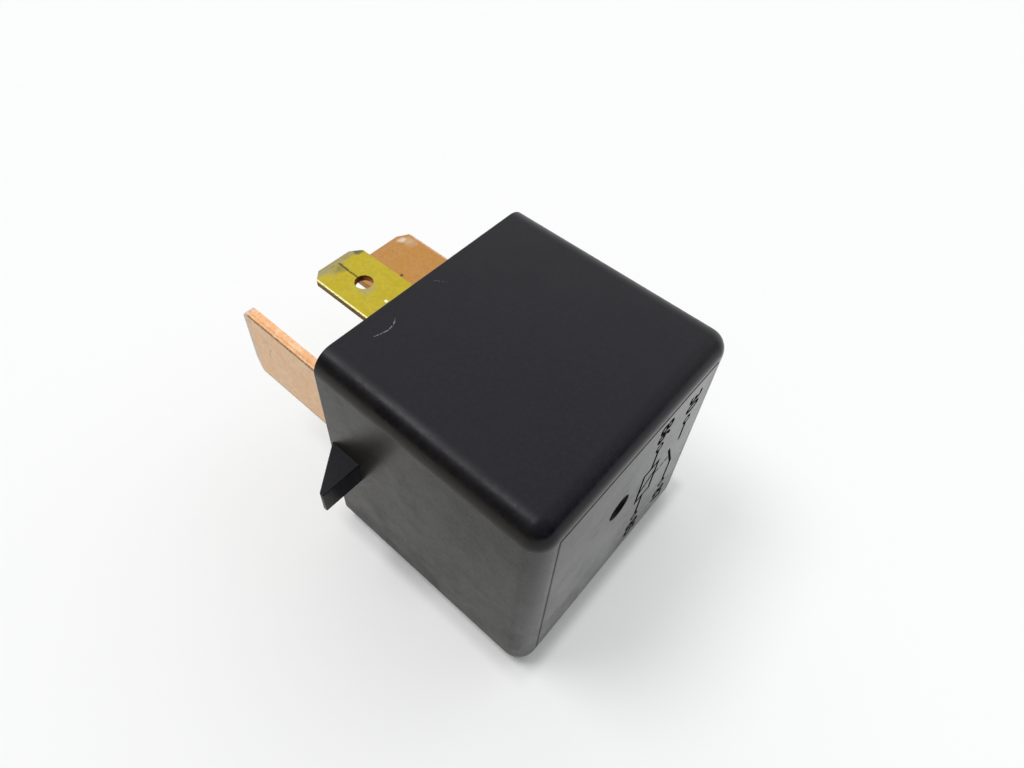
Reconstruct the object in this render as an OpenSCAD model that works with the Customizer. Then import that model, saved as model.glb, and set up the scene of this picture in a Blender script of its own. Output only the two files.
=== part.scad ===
// Plug-in automotive relay, lying on one side wall with its blades along +Y.
// Origin: centre of the wall it rests on. All lengths are in millimetres.

/* [Cover] */
// Width of the cover along X, across the wall with the snap wedge
cover_w = 28; // [27.8:0.1:32]
// Height of the cover along Z, as it lies
cover_h = 28; // [26:0.5:34]
// Depth of the cover along Y, from its closed end to its rim
cover_d = 25.5; // [24:0.5:34]
// Wall thickness of the cover
wall = 1; // [0.8:0.05:1.1]
// Rounding of the cover's four long edges
edge_r = 2.2; // [1.8:0.1:3]
// Rounding of the edges round its closed end
end_r = 2; // [1.4:0.1:2.1]
// Length of the moulded rib inside the closed end that stops the armature
stop_len = 10; // [6:0.5:12]
// Thickness of that rib
stop_t = 1.2; // [0.8:0.1:1.6]

/* [Closed end] */
// Distance from the cover's sides to the edge of the flat panel
panel_margin = 2.3; // [2.2:0.1:5]
// Height of the panel above the moulding round it
panel_step = 0.1; // [0.05:0.05:0.3]
// Radius of the round gate dimple
gate_r = 1.45; // [0.8:0.05:2]
// Depth of the gate dimple
gate_depth = 0.3; // [0.1:0.05:0.4]
// Place of the dimple along X, from the middle
gate_x = -1.6; // [-5:0.1:5]
// Place of the dimple along Z, from the middle
gate_z = 2.7; // [-5:0.1:5]

/* [Snap wedge] */
// How far the wedge stands out of the wall
wedge_reach = 4.4; // [2:0.1:6]
// Length of the wedge from the start of its ramp to its locking face
wedge_len = 3.85; // [2.5:0.05:6]
// Distance from the rim to the start of the ramp
wedge_start = 0.45; // [0:0.05:4]
// Width of the flat nose at the wedge's tip
wedge_nose = 0.5; // [0.2:0.05:1]
// Thickness of the wedge along Z
wedge_t = 2.9; // [1.5:0.1:6]

/* [Base] */
// Thickness of the base plate
base_t = 2.6; // [2.2:0.1:3.2]
// Depth of the base's face inside the rim
base_recess = 0.9; // [0.5:0.1:1.4]
// Clearance between the base and the cover's wall
base_gap = 0.1; // [0.05:0.01:0.15]
// Depth of the cored pockets in the base's outer face
pocket_depth = 0.9; // [0.4:0.1:1.2]
// Height of the moulded collars round the blades
collar_h = 0.4; // [0.2:0.1:0.6]
// Radius of the vent hole
vent_r = 0.5; // [0.3:0.1:0.8]
// Width of the resin bead that seals the base
bead_w = 0.7; // [0.4:0.1:0.9]
// Thickness of the resin bead
bead_t = 0.4; // [0.2:0.05:0.5]
// Height of the ribs that guide the switch terminal's arm
guide_h = 4; // [2:0.5:8]
// Width of the pads that the yoke's foot rests on
pad_w = 3; // [2:0.1:4]
// Web left between a pocket and a blade's collar
web = 1.5; // [1:0.1:2]

/* [Load blades] */
// Width of the two load blades
load_w = 9.5; // [8:0.1:9.6]
// Thickness of the load blades
load_t = 1.2; // [1:0.05:1.4]
// Length of the load blades beyond the rim
load_len = 17.4; // [10:0.1:20]
// Corner chamfer of a load blade's tip, across its width
load_cut = 1.3; // [0.3:0.1:2.5]
// Corner chamfer of a load blade's tip, along its length
load_cut_len = 1; // [0.3:0.1:2.5]
// Length of the bevel at the tip
load_bevel = 1.4; // [0.5:0.1:3]
// Thickness left at the tip
load_nose = 0.6; // [0.4:0.05:0.9]
// Place of blade 30 along X, from the middle
pin30_x = 7.85; // [7.4:0.05:7.9]
// Place of blade 87 along X, from the middle
pin87_x = -10.4; // [-11:0.05:-10.2]
// Inner bend radius of the load terminals
load_bend = 0.5; // [0.3:0.05:0.6]
// Length of terminal 30's flat foot
foot_len = 4.9; // [3:0.1:5.4]
// Shoulder on each side of terminal 87, where its arm gets narrower
arm_step = 1.25; // [0.8:0.05:1.6]

/* [Coil blades] */
// Width of the two coil blades
coil_w = 6.3; // [5:0.1:6.5]
// Thickness of the coil blades
coil_t = 0.8; // [0.6:0.05:1]
// Length of the coil blades beyond the rim
coil_len = 12.3; // [9:0.1:16]
// Chamfer at a coil blade's corners
coil_cut = 1.1; // [0.3:0.1:2]
// Length of the bevel at the tip
coil_bevel = 0.9; // [0.5:0.1:2]
// Thickness left at the tip
coil_nose = 0.45; // [0.3:0.05:0.6]
// Radius of the detent hole
hole_r = 0.95; // [0.6:0.05:1.2]
// Distance from the tip to the middle of the hole
hole_from_tip = 4.7; // [3.5:0.1:6]
// Place of the coil blades along X, from the middle
coil_pin_x = -1.8; // [-2.2:0.1:0]
// Distance of each coil blade from the middle, along Z
coil_pin_z = 8.4; // [8.3:0.1:10]
// Width of the post that the coil's wire is wrapped on
post_w = 1.2; // [0.8:0.1:1.6]
// Height of the post above the base
post_len = 5.8; // [5.4:0.1:7]

/* [Coil and yoke] */
// Thickness of the yoke's steel
yoke_t = 1.8; // [1.4:0.1:2]
// Width of the yoke along Z
yoke_w = 14.4; // [12:0.1:14.8]
// Inner bend radius of the yoke
yoke_bend = 0.8; // [0.5:0.1:1.2]
// Distance of the yoke's outer face beyond blade 30's middle
yoke_over = 4.15; // [3.8:0.05:4.3]
// How far the yoke's foot reaches beyond the coil's axis
yoke_reach = 6.2; // [4:0.1:7]
// Radius of the core
core_r = 3; // [2:0.1:3.6]
// Radius of the core's staked end in the yoke
stake_r = 2.2; // [1.5:0.1:2.6]
// Radius of the pole head
pole_r = 5.5; // [4.4:0.1:6]
// Thickness of the pole head
pole_t = 1.2; // [0.8:0.1:1.6]
// Half the width of the bobbin's flanges, across the yoke's leg
flange_hw = 7.4; // [7:0.1:7.6]
// How far the bobbin's flanges reach past each side of the yoke
flange_over = 0.2; // [0:0.05:0.4]
// Corner cut of the bobbin's flanges
flange_cut = 2.2; // [1:0.1:3]
// Thickness of the bobbin's flanges
flange_t = 1; // [0.7:0.1:1.3]
// Wall of the bobbin's tube
tube_t = 0.7; // [0.5:0.1:1]
// Outer radius of the winding
winding_r = 6.4; // [5.4:0.1:6.6]
// Diameter of the enamelled wire
wire_d = 0.34; // [0.26:0.02:0.5]
// Turns of wire wrapped on each post
wraps = 4; // [3:1:5]
// Angle round the winding at which its wire's ends leave it
lead_aim = 115; // [105:5:125]
// Thickness of the insulating tape
tape_t = 0.15; // [0.1:0.05:0.25]
// Width of the insulating tape
tape_len = 6.5; // [3:0.5:7]
// Clearance between the bobbin and the yoke's upright leg
coil_gap = 0.9; // [0.8:0.1:1.2]

/* [Armature] */
// Thickness of the armature
arm_t = 1.6; // [1.2:0.1:2]
// Width of the armature along Z
arm_w = 13; // [11:0.5:14.5]
// Length of the armature from its tilting edge
arm_len = 17.2; // [16:0.1:18]
// Angle that the armature stands open at rest
open_angle = 3; // [2:0.1:3.4]
// Room between the closed end and the armature when it is pulled in
arm_room = 2.9; // [2.8:0.1:4]
// Corner cut of the armature's free end
arm_cut = 3; // [1:0.5:4]
// Set-back of the armature's rear edge from the tilting edge
arm_set = 0.5; // [0.45:0.05:0.9]
// Clearance that a longer armature keeps round the moving contact
arm_notch = 0.3; // [0.1:0.05:0.8]

/* [Springs, contacts and rivets] */
// Thickness of the contact spring
spring_t = 0.3; // [0.2:0.05:0.4]
// Width of the contact spring on the armature
spring_w = 9; // [7:0.5:11]
// Width of the contact spring at the contact
spring_end_w = 5; // [4:0.5:6]
// Thickness of the hinge spring
hinge_t = 0.2; // [0.15:0.05:0.3]
// Width of the hinge spring
hinge_w = 8; // [6.5:0.5:10]
// Inner bend radius of the hinge spring
hinge_bend = 0.35; // [0.3:0.05:0.45]
// Length of the hinge spring's leg on the armature
hinge_len = 5; // [4.6:0.1:6]
// Radius of the contact rivets' heads
contact_r = 1.8; // [1.2:0.1:2]
// Height of the contact rivets' heads
contact_h = 0.9; // [0.6:0.05:1]
// Radius of the contact rivets' shanks
shank_r = 0.8; // [0.6:0.05:1]
// Radius of the contact rivets' formed tails
tail_r = 1.3; // [1.2:0.05:1.5]
// Height of all formed tails
tail_h = 0.35; // [0.2:0.05:0.45]
// Radius of the small rivets' shanks
rivet_r = 0.6; // [0.4:0.05:0.7]
// Radius of the small rivets' heads
rivet_head_r = 1.05; // [0.9:0.05:1.15]
// Height of the small rivets' heads
rivet_head_h = 0.35; // [0.2:0.05:0.45]
// Distance between the two rivets of a pair
rivet_pitch = 4.4; // [3.2:0.2:5]
// Distance of the contact spring's rivets from the armature's tilting edge
spring_rivet_at = 10.3; // [9.5:0.1:11]
// Distance of the hinge spring's rivets from the yoke's edge
yoke_rivet_at = 5; // [4:0.1:6]

/* [Clearances] */
// Clearance of a blade in its slot
slot_gap = 0.03; // [0.02:0.01:0.06]
// Clearance of a pin or rivet in its hole
fit_gap = 0.02; // [0.01:0.01:0.05]
// Air left between the closed armature and the pole, and between closed contacts
rest_gap = 0.05; // [0.03:0.01:0.08]

/* [Hidden] */
$fn = 48;

// Depth that one solid is sunk into another of the same node, and a cut beyond its face
sink = 0.3;
// Chamfer on the heads of rivets and on the pole
edge_cut = 0.15;
// Depth of the wide slots below the base's inner face
shoulder = 0.6;

// Middle of the relay's height
mid_z = cover_h / 2;
// Outer and inner faces of the closed end, and the rim
y_cap = -cover_d / 2;
y_in = y_cap + wall;
y_rim = cover_d / 2;
// Half the width and height of the cavity
hx = cover_w / 2 - wall;
hz = cover_h / 2 - wall;
// Outer and inner faces of the base
y_base_out = y_rim - base_recess;
y_base_in = y_base_out - base_t;
// Outer and inner faces of the yoke's foot
y_foot = y_base_in - load_t;
y_yoke = y_foot - yoke_t;
// Closed armature's inner face, and the pole face just under it
y_arm = y_in + arm_room + arm_t;
y_pole = y_arm + rest_gap;
// Outer and inner faces of the yoke's leg
yoke_x = pin30_x + yoke_over;
yoke_in_x = yoke_x - yoke_t;
// Axis of the coil, and half the height of the bobbin's flanges
coil_x = yoke_in_x - coil_gap - flange_hw;
flange_hz = yoke_w / 2 + flange_over;
// Undersides of the pole head and of the bobbin's upper flange
y_head = y_pole + pole_t;
y_win0 = y_head + flange_t;
y_win1 = y_yoke - flange_t;
tube_r = core_r + 2 * fit_gap + tube_t;
// Face of terminal 87's flange that carries the fixed contact
y_flange = y_arm - arm_t + 2 * contact_h + rest_gap;
arm87_w = load_w - 2 * arm_step;
// Contacts: the flange that carries the fixed one ends short of the bobbin
flange_end_x = coil_x - flange_hw - coil_gap;
contact_x = flange_end_x - tail_r - edge_cut;
contact_lx = contact_x - yoke_x;
notch_r = contact_r + arm_notch;
// Post that carries the wire, at the coil blade's edge
post_x = coil_pin_x - coil_w / 2 + post_w / 2 + sink;
y_post = y_base_in - post_len;
// Places of the rivets along the armature, from its tilting edge, and along the yoke
hinge_rivet_x = -(yoke_t + coil_gap / 2 + rivet_head_r);
spring_rivet_x = -spring_rivet_at;
spring_root_x = spring_rivet_x + 2 * rivet_head_r;
y_yoke_rivet = y_arm + yoke_rivet_at;
// Place of the stop rib, and its face just above the open contact spring
arm_stop_x = yoke_x - arm_len + stop_t;
y_stop = y_arm - (yoke_x - arm_stop_x + stop_t / 2) * tan(open_angle)
         - (arm_t + spring_t) / cos(open_angle) - rest_gap;

// ---- Helpers -------------------------------------------------------------------------

// Turns a shape that was drawn upwards so that it points along +Y.
module along_y() {
    rotate([-90, 0, 0]) children();
}

// Half section of a block's edge: r wide and d high, its lower outer corner rounded by end.
module edge_profile(r, d, end) {
    translate([0, end]) square([r, d - end]);
    square([r - end, end]);
    translate([r - end, 0]) intersection() {
        translate([0, end]) circle(end);
        square(end);
    }
}

// Block of w by h, d high: upright edges rounded by r, and its lower end rounded by end.
module rounded_block(w, h, d, r, end) {
    cx = w / 2 - r;
    cy = h / 2 - r;
    translate([-cx, -cy, 0]) cube([2 * cx, 2 * cy, d]);
    for (turn = [0, 180]) {
        rotate([0, 0, turn]) translate([cx, 0, 0]) rotate([90, 0, 0])
            linear_extrude(height = 2 * cy, center = true) edge_profile(r, d, end);
        rotate([0, 0, turn + 90]) translate([cy, 0, 0]) rotate([90, 0, 0])
            linear_extrude(height = 2 * cx, center = true) edge_profile(r, d, end);
        rotate([0, 0, turn]) translate([cx, cy, 0]) rotate_extrude(angle = 90)
            edge_profile(r, d, end);
        rotate([0, 0, turn]) translate([cx, -cy, 0]) rotate([0, 0, -90])
            rotate_extrude(angle = 90) edge_profile(r, d, end);
    }
}

// Plate of w by h, d thick, with round upright edges.
module rounded_plate(w, h, d, r) {
    cx = w / 2 - r;
    cy = h / 2 - r;
    translate([-cx, -h / 2, 0]) cube([2 * cx, h, d]);
    translate([-w / 2, -cy, 0]) cube([w, 2 * cy, d]);
    for (turn = [0, 180]) {
        rotate([0, 0, turn]) translate([cx, cy, 0]) rotate_extrude(angle = 90) square([r, d]);
        rotate([0, 0, turn]) translate([cx, -cy, 0]) rotate([0, 0, -90])
            rotate_extrude(angle = 90) square([r, d]);
    }
}

// Points along an arc about a centre, between two angles.
function arc(centre, r, from, to, steps = 10) =
    [for (i = [0 : steps]) let (a = from + (to - from) * i / steps) centre + r * [cos(a), sin(a)]];

// Flat plate in the XZ plane, t thick towards -Y.
module plate_xz(outline, t) {
    rotate([90, 0, 0]) linear_extrude(height = t) polygon(outline);
}

// Bent sheet, t thick, drawn like a path along +X. Each leg is [length, turn after it,
// inner bend radius, width]; a positive turn bends towards +Y.
module sheet(legs, t) {
    leg = legs[0];
    w = leg[3];
    r = leg[2];
    translate([0, 0, -w / 2]) cube([leg[0], t, w]);
    if (len(legs) > 1) {
        side = leg[1] > 0 ? t + r : -r;
        start = leg[1] > 0 ? -90 : 90 + leg[1];
        rest = [for (i = [1 : len(legs) - 1]) legs[i]];
        translate([leg[0], side, 0]) {
            rotate([0, 0, start]) rotate_extrude(angle = abs(leg[1]))
                translate([r, -w / 2]) square([t, w]);
            rotate([0, 0, leg[1]]) translate([0, -side, 0]) sheet(rest, t);
        }
    }
}

// Blade along +Y with chamfered corners and a bevelled tip; its width is along X.
module blade(w, t, length, cut, cut_len, bevel, nose) {
    intersection() {
        linear_extrude(height = t, center = true)
            polygon([[-w / 2, 0], [w / 2, 0], [w / 2, length - cut_len], [w / 2 - cut, length],
                     [-w / 2 + cut, length], [-w / 2, length - cut_len]]);
        rotate([90, 0, 90]) linear_extrude(height = w + 2, center = true)
            polygon([[0, -t / 2], [length - bevel, -t / 2], [length, -nose / 2],
                     [length, nose / 2], [length - bevel, t / 2], [0, t / 2]]);
    }
}

// Rivet along Z: head above 0, shank through grip below it, and a formed tail under that.
module rivet(head_r, head_h, body_r, grip, foot_r, foot_h) {
    foot = foot_h > 0
        ? [[foot_r, -grip], [foot_r, -grip - foot_h + edge_cut],
           [foot_r - edge_cut, -grip - foot_h], [0, -grip - foot_h]]
        : [[0, -grip]];
    rotate_extrude() polygon(concat(
        [[0, head_h], [head_r - edge_cut, head_h], [head_r, head_h - edge_cut], [head_r, 0],
         [body_r, 0], [body_r, -grip]], foot));
}

// Two places on either side of the relay's middle height.
module pair(pitch) {
    for (side = [-1, 1]) translate([0, 0, side * pitch / 2]) children();
}

// The armature's own frame: its tilting edge at the origin, its inner face at y = 0,
// its free end towards -X, tilted open.
module on_armature() {
    translate([yoke_x, y_arm, mid_z]) rotate([0, 0, open_angle]) children();
}

// Slots of the four blades through the base, opened by a clearance all round.
module blade_slot(x, z, w, t, y0, y1) {
    translate([x - w / 2 - slot_gap, y0, z - t / 2 - slot_gap])
        cube([w + 2 * slot_gap, y1 - y0, t + 2 * slot_gap]);
}

// ---- Housing -------------------------------------------------------------------------

// Triangular wedge that snaps into a bracket or socket.
module wedge() {
    x0 = -cover_w / 2;
    y0 = y_rim - wedge_start;
    y1 = y0 - wedge_len;
    translate([0, 0, mid_z]) linear_extrude(height = wedge_t, center = true)
        polygon([[x0 + sink, y0], [x0, y0], [x0 - wedge_reach, y1 + wedge_nose],
                 [x0 - wedge_reach, y1], [x0 + sink, y1]]);
}

// Rib under the closed end, which the contact spring rests against when open.
module stop_rib() {
    x0 = arm_stop_x - stop_t / 2;
    translate([x0, y_in - sink, mid_z - stop_len / 2])
        cube([stop_t, y_stop - y_in + sink, stop_len]);
}

module cover() {
    color([0.12, 0.12, 0.13]) {
        difference() {
            union() {
                translate([0, y_cap + panel_step, mid_z]) along_y()
                    rounded_block(cover_w, cover_h, cover_d - panel_step, edge_r, end_r);
                translate([-cover_w / 2 + panel_margin, y_cap, panel_margin])
                    cube([cover_w - 2 * panel_margin, wall / 2, cover_h - 2 * panel_margin]);
                wedge();
            }
            translate([0, y_in, mid_z]) along_y()
                rounded_block(2 * hx, 2 * hz, cover_d, edge_r - wall, end_r - wall);
            translate([gate_x, y_cap - sink, mid_z + gate_z]) along_y()
                cylinder(r = gate_r, h = gate_depth + sink);
        }
        stop_rib();
    }
}

// Moulded plate with a slot for each blade, pads for the yoke and ribs beside the arm.
module base() {
    color([0.16, 0.16, 0.17]) difference() {
        union() {
            translate([0, y_base_in, mid_z]) along_y()
                rounded_plate(2 * (hx - base_gap), 2 * (hz - base_gap), base_t,
                              edge_r - wall - base_gap);
            base_collars();
            base_pads();
            base_guides();
        }
        base_slots();
        base_pockets();
    }
}

// Raised rims round the three blades that have room for one.
module base_collars() {
    rim = 2 * collar_h;
    translate([pin87_x - load_t / 2 - rim, y_base_out - sink, mid_z - load_w / 2 - rim])
        cube([load_t + 2 * rim, collar_h + sink, load_w + 2 * rim]);
    for (side = [-1, 1])
        translate([coil_pin_x - coil_w / 2 - rim, y_base_out - sink,
                   mid_z + side * coil_pin_z - coil_t / 2 - rim])
            cube([coil_w + 2 * rim, collar_h + sink, coil_t + 2 * rim]);
}

// Pads as high as terminal 30's foot, which carry the rest of the yoke's foot.
module base_pads() {
    for (x = [coil_x - yoke_reach, coil_x + yoke_reach - pad_w])
        translate([x, y_foot, mid_z - yoke_w / 2])
            cube([pad_w, load_t + sink, pad_w]);
    translate([coil_x - yoke_reach, y_foot, mid_z + yoke_w / 2 - pad_w])
        cube([pad_w, load_t + sink, pad_w]);
}

// Two ribs that hold terminal 87's arm between them.
module base_guides() {
    for (side = [-1, 1])
        translate([pin87_x - load_t / 2, y_base_in - guide_h,
                   mid_z + side * (arm87_w / 2 + slot_gap + wall / 2) - wall / 2])
            cube([load_t + wall, guide_h + sink, wall]);
}

module base_slots() {
    y_out = y_base_out + collar_h + sink;
    y_step = y_base_in + shoulder;
    // Terminal 87: wide below its shoulder, narrow above it
    translate([pin87_x - load_t / 2 - slot_gap, y_step - slot_gap, mid_z - load_w / 2 - slot_gap])
        cube([load_t + 2 * slot_gap, y_out - y_step, load_w + 2 * slot_gap]);
    translate([pin87_x - load_t / 2 - slot_gap, y_base_in - sink, mid_z - arm87_w / 2 - slot_gap])
        cube([load_t + 2 * slot_gap, base_t, arm87_w + 2 * slot_gap]);
    // Terminal 30, with relief for its bend
    blade_slot(pin30_x, mid_z, load_w, load_t, y_base_in - sink, y_out);
    blade_slot(pin30_x, mid_z + load_bend, load_w, load_t, y_base_in - sink,
               y_base_in + load_bend);
    // Coil terminals: wide below the shoulder, only the post above it
    for (side = [-1, 1]) {
        z = mid_z + side * coil_pin_z;
        blade_slot(coil_pin_x, z, coil_w, coil_t, y_step - slot_gap, y_out);
        blade_slot(post_x, z, post_w, coil_t, y_base_in - sink, y_step);
    }
}

// Cored pockets and the vent hole in the outer face.
module base_pockets() {
    x0 = pin87_x + load_t / 2 + 2 * collar_h + web;
    x1 = pin30_x - load_w / 2 - web;
    x2 = hx - bead_w - web;
    z1 = coil_pin_z - coil_t / 2 - 2 * collar_h - web;
    translate([x0, y_base_out - pocket_depth, mid_z - z1])
        cube([x1 - x0, pocket_depth + sink, 2 * z1]);
    for (side = [-1, 1])
        translate([x1 + web, y_base_out - pocket_depth,
                   mid_z + side * (load_t / 2 + web + z1 / 2) - z1 / 2])
            cube([x2 - x1 - web, pocket_depth + sink, z1]);
    translate([(x0 + x1) / 2, y_base_in - sink, mid_z]) along_y()
        cylinder(r = vent_r, h = base_t + sink);
}

// Resin bead in the corner between the base and the cover's wall.
module seal_bead() {
    color([0.32, 0.24, 0.14]) difference() {
        translate([0, y_base_out, mid_z]) along_y()
            rounded_plate(2 * hx, 2 * hz, bead_t, edge_r - wall);
        translate([-hx + bead_w, y_base_out - sink, mid_z - hz + bead_w])
            cube([2 * (hx - bead_w), bead_t + 2 * sink, 2 * (hz - bead_w)]);
        blade_slot(pin30_x, mid_z, load_w, load_t, y_base_out - sink, y_base_out + bead_t + sink);
    }
}

// ---- Terminals -----------------------------------------------------------------------

// Wide blade whose foot is bent over the base and carries the yoke.
module terminal_30() {
    y_root = y_base_in + base_t / 2;
    color([0.80, 0.50, 0.28]) {
        translate([pin30_x, y_root, mid_z])
            blade(load_w, load_t, y_rim + load_len - y_root, load_cut, load_cut_len, load_bevel,
                  load_nose);
        translate([pin30_x, y_root, mid_z - load_t / 2]) rotate([90, 0, -90])
            sheet([[y_root - y_base_in - load_bend, 90, load_bend, load_w],
                   [foot_len, 0, 0, load_w]], load_t);
    }
}

// Wide blade set square to the other, with an arm bent over to carry the fixed contact.
module terminal_87() {
    y_root = y_base_in + shoulder;
    x0 = pin87_x - load_t / 2;
    color([0.86, 0.64, 0.44]) difference() {
        union() {
            translate([pin87_x, y_root, mid_z]) rotate([0, 90, 0])
                blade(load_w, load_t, y_rim + load_len - y_root, load_cut, load_cut_len,
                      load_bevel, load_nose);
            translate([x0, y_root, mid_z]) rotate([0, 0, -90])
                sheet([[y_root - y_flange - load_t - load_bend, 90, load_bend, arm87_w],
                       [flange_end_x - x0 - load_t - load_bend, 0, 0, arm87_w]], load_t);
        }
        translate([contact_x, y_flange - sink, mid_z]) along_y()
            cylinder(r = shank_r + fit_gap, h = load_t + 2 * sink);
    }
}

// Narrow blade with a detent hole outside and a wire post inside.
module coil_terminal(side) {
    y_root = y_base_in + shoulder;
    z = mid_z + side * coil_pin_z;
    color([0.74, 0.72, 0.28]) difference() {
        union() {
            translate([coil_pin_x, y_root, z])
                blade(coil_w, coil_t, y_rim + coil_len - y_root, coil_cut, coil_cut, coil_bevel,
                      coil_nose);
            translate([post_x - post_w / 2, y_post, z - coil_t / 2])
                cube([post_w, y_root - y_post, coil_t]);
        }
        translate([coil_pin_x, y_rim + coil_len - hole_from_tip, z - coil_t])
            cylinder(r = hole_r, h = 2 * coil_t);
    }
}

module terminal_86() {
    coil_terminal(1);
}

module terminal_85() {
    coil_terminal(-1);
}

// ---- Magnet --------------------------------------------------------------------------

// Bent steel frame: a foot under the coil and a leg that ends at the armature's edge.
module yoke() {
    color([0.62, 0.63, 0.65]) difference() {
        translate([coil_x - yoke_reach, y_yoke, mid_z])
            sheet([[yoke_in_x - yoke_bend - coil_x + yoke_reach, -90, yoke_bend, yoke_w],
                   [y_yoke - yoke_bend - y_pole, 0, 0, yoke_w]], yoke_t);
        translate([coil_x, y_yoke - sink, mid_z]) along_y()
            cylinder(r = stake_r + fit_gap, h = yoke_t + 2 * sink);
        translate([yoke_in_x - sink, y_yoke_rivet, mid_z]) pair(rivet_pitch) rotate([0, 90, 0])
            cylinder(r = rivet_r + fit_gap, h = yoke_t + 2 * sink);
    }
}

// Iron core, turned in one piece with its pole head and its staked end.
module core() {
    length = y_yoke - y_pole;
    color([0.70, 0.71, 0.72]) translate([coil_x, y_pole, mid_z]) along_y()
        rotate_extrude() polygon([[0, 0], [pole_r - edge_cut, 0], [pole_r, edge_cut],
                                  [pole_r, pole_t], [core_r, pole_t], [core_r, length],
                                  [stake_r, length], [stake_r, length + yoke_t],
                                  [0, length + yoke_t]]);
}

// Outline of a bobbin flange: a rectangle with its corners cut.
module flange_outline() {
    x0 = flange_hw - flange_cut;
    y0 = flange_hz - flange_cut;
    polygon([[-x0, -flange_hz], [x0, -flange_hz], [flange_hw, -y0], [flange_hw, y0],
             [x0, flange_hz], [-x0, flange_hz], [-flange_hw, y0], [-flange_hw, -y0]]);
}

module bobbin() {
    color([0.86, 0.84, 0.76]) translate([coil_x, y_head, mid_z]) along_y() difference() {
        union() {
            linear_extrude(height = flange_t) flange_outline();
            translate([0, 0, y_win1 - y_head]) linear_extrude(height = flange_t) flange_outline();
            cylinder(r = tube_r, h = y_yoke - y_head);
        }
        translate([0, 0, -sink]) cylinder(r = core_r + 2 * fit_gap, h = cover_d);
    }
}

// Wound wire, with the turns of its outer layer, each a little into its neighbours.
module winding() {
    length = y_win1 - y_win0 - 2 * fit_gap;
    turns = floor(length / wire_d);
    pitch = length / turns;
    turn_r = 0.53 * pitch;
    color([0.72, 0.36, 0.18]) translate([coil_x, y_win0 + fit_gap, mid_z]) along_y()
        rotate_extrude() {
            translate([tube_r + fit_gap, 0])
                square([winding_r - wire_d / 2 - tube_r - fit_gap, length]);
            for (i = [1 : turns - 2])
                translate([winding_r - wire_d / 2, (i + 0.5) * pitch]) circle(r = turn_r);
        }
}

module coil_tape() {
    r = winding_r + fit_gap;
    color([0.80, 0.62, 0.20]) translate([coil_x, (y_win0 + y_win1 - tape_len) / 2, mid_z])
        along_y() rotate_extrude() translate([r, 0]) square([tape_t, tape_len]);
}

// End of the wire: turns wrapped on the post, and a straight run to the winding.
module coil_lead(side) {
    pitch = 0.85 * wire_d;
    ring_r = sqrt(post_w * post_w + coil_t * coil_t) / 2 + wire_d / 2 + fit_gap;
    dx = coil_x + winding_r * cos(lead_aim) - post_x;
    dz = winding_r * sin(lead_aim) - coil_pin_z;
    reach = sqrt(dx * dx + dz * dz);
    y0 = y_win1 - wire_d - wraps * pitch;
    color([0.78, 0.40, 0.20]) translate([post_x, y0, mid_z + side * coil_pin_z]) {
        along_y() rotate_extrude() for (i = [0 : wraps - 1])
            translate([ring_r, (i + 0.5) * pitch]) circle(r = wire_d / 2);
        translate([0, wraps * pitch / 2, 0]) rotate([0, atan2(dx, side * dz), 0])
            translate([0, 0, ring_r]) cylinder(r = wire_d / 2, h = reach - ring_r - wire_d / 2);
    }
}

module coil_lead_86() {
    coil_lead(1);
}

module coil_lead_85() {
    coil_lead(-1);
}

// ---- Armature and contacts -----------------------------------------------------------

// Steel plate that tilts on the yoke's end.
module armature() {
    w = arm_w / 2;
    x1 = -arm_len;
    color([0.66, 0.67, 0.69]) on_armature() difference() {
        plate_xz([[-arm_set, -w], [-arm_set, w], [x1 + arm_cut, w], [x1, w - arm_cut],
                  [x1, -w + arm_cut], [x1 + arm_cut, -w]], arm_t);
        for (x = [hinge_rivet_x, spring_rivet_x])
            translate([x, -arm_t - sink, 0]) pair(rivet_pitch) along_y()
                cylinder(r = rivet_r + fit_gap, h = arm_t + 2 * sink);
        // Cuts in only where the free end comes near the moving contact
        translate([contact_lx, -arm_t - sink, 0]) along_y()
            cylinder(r = notch_r, h = arm_t + 2 * sink);
    }
}

// Leaf spring riveted on the armature, with the moving contact at its end.
module contact_spring() {
    w = spring_w / 2;
    e = spring_end_w / 2;
    x1 = contact_lx - e;
    color([0.78, 0.52, 0.34]) on_armature() translate([0, -arm_t, 0]) difference() {
        plate_xz([[spring_root_x, -w], [spring_root_x, w], [-arm_len, w], [contact_lx, e],
                  [x1 + e / 2, e], [x1, e / 2], [x1, -e / 2], [x1 + e / 2, -e],
                  [contact_lx, -e], [-arm_len, -w]], spring_t);
        translate([spring_rivet_x, -spring_t - sink, 0]) pair(rivet_pitch) along_y()
            cylinder(r = rivet_r + fit_gap, h = spring_t + 2 * sink);
        translate([contact_lx, -spring_t - sink, 0]) along_y()
            cylinder(r = shank_r + fit_gap, h = spring_t + 2 * sink);
    }
}

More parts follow.
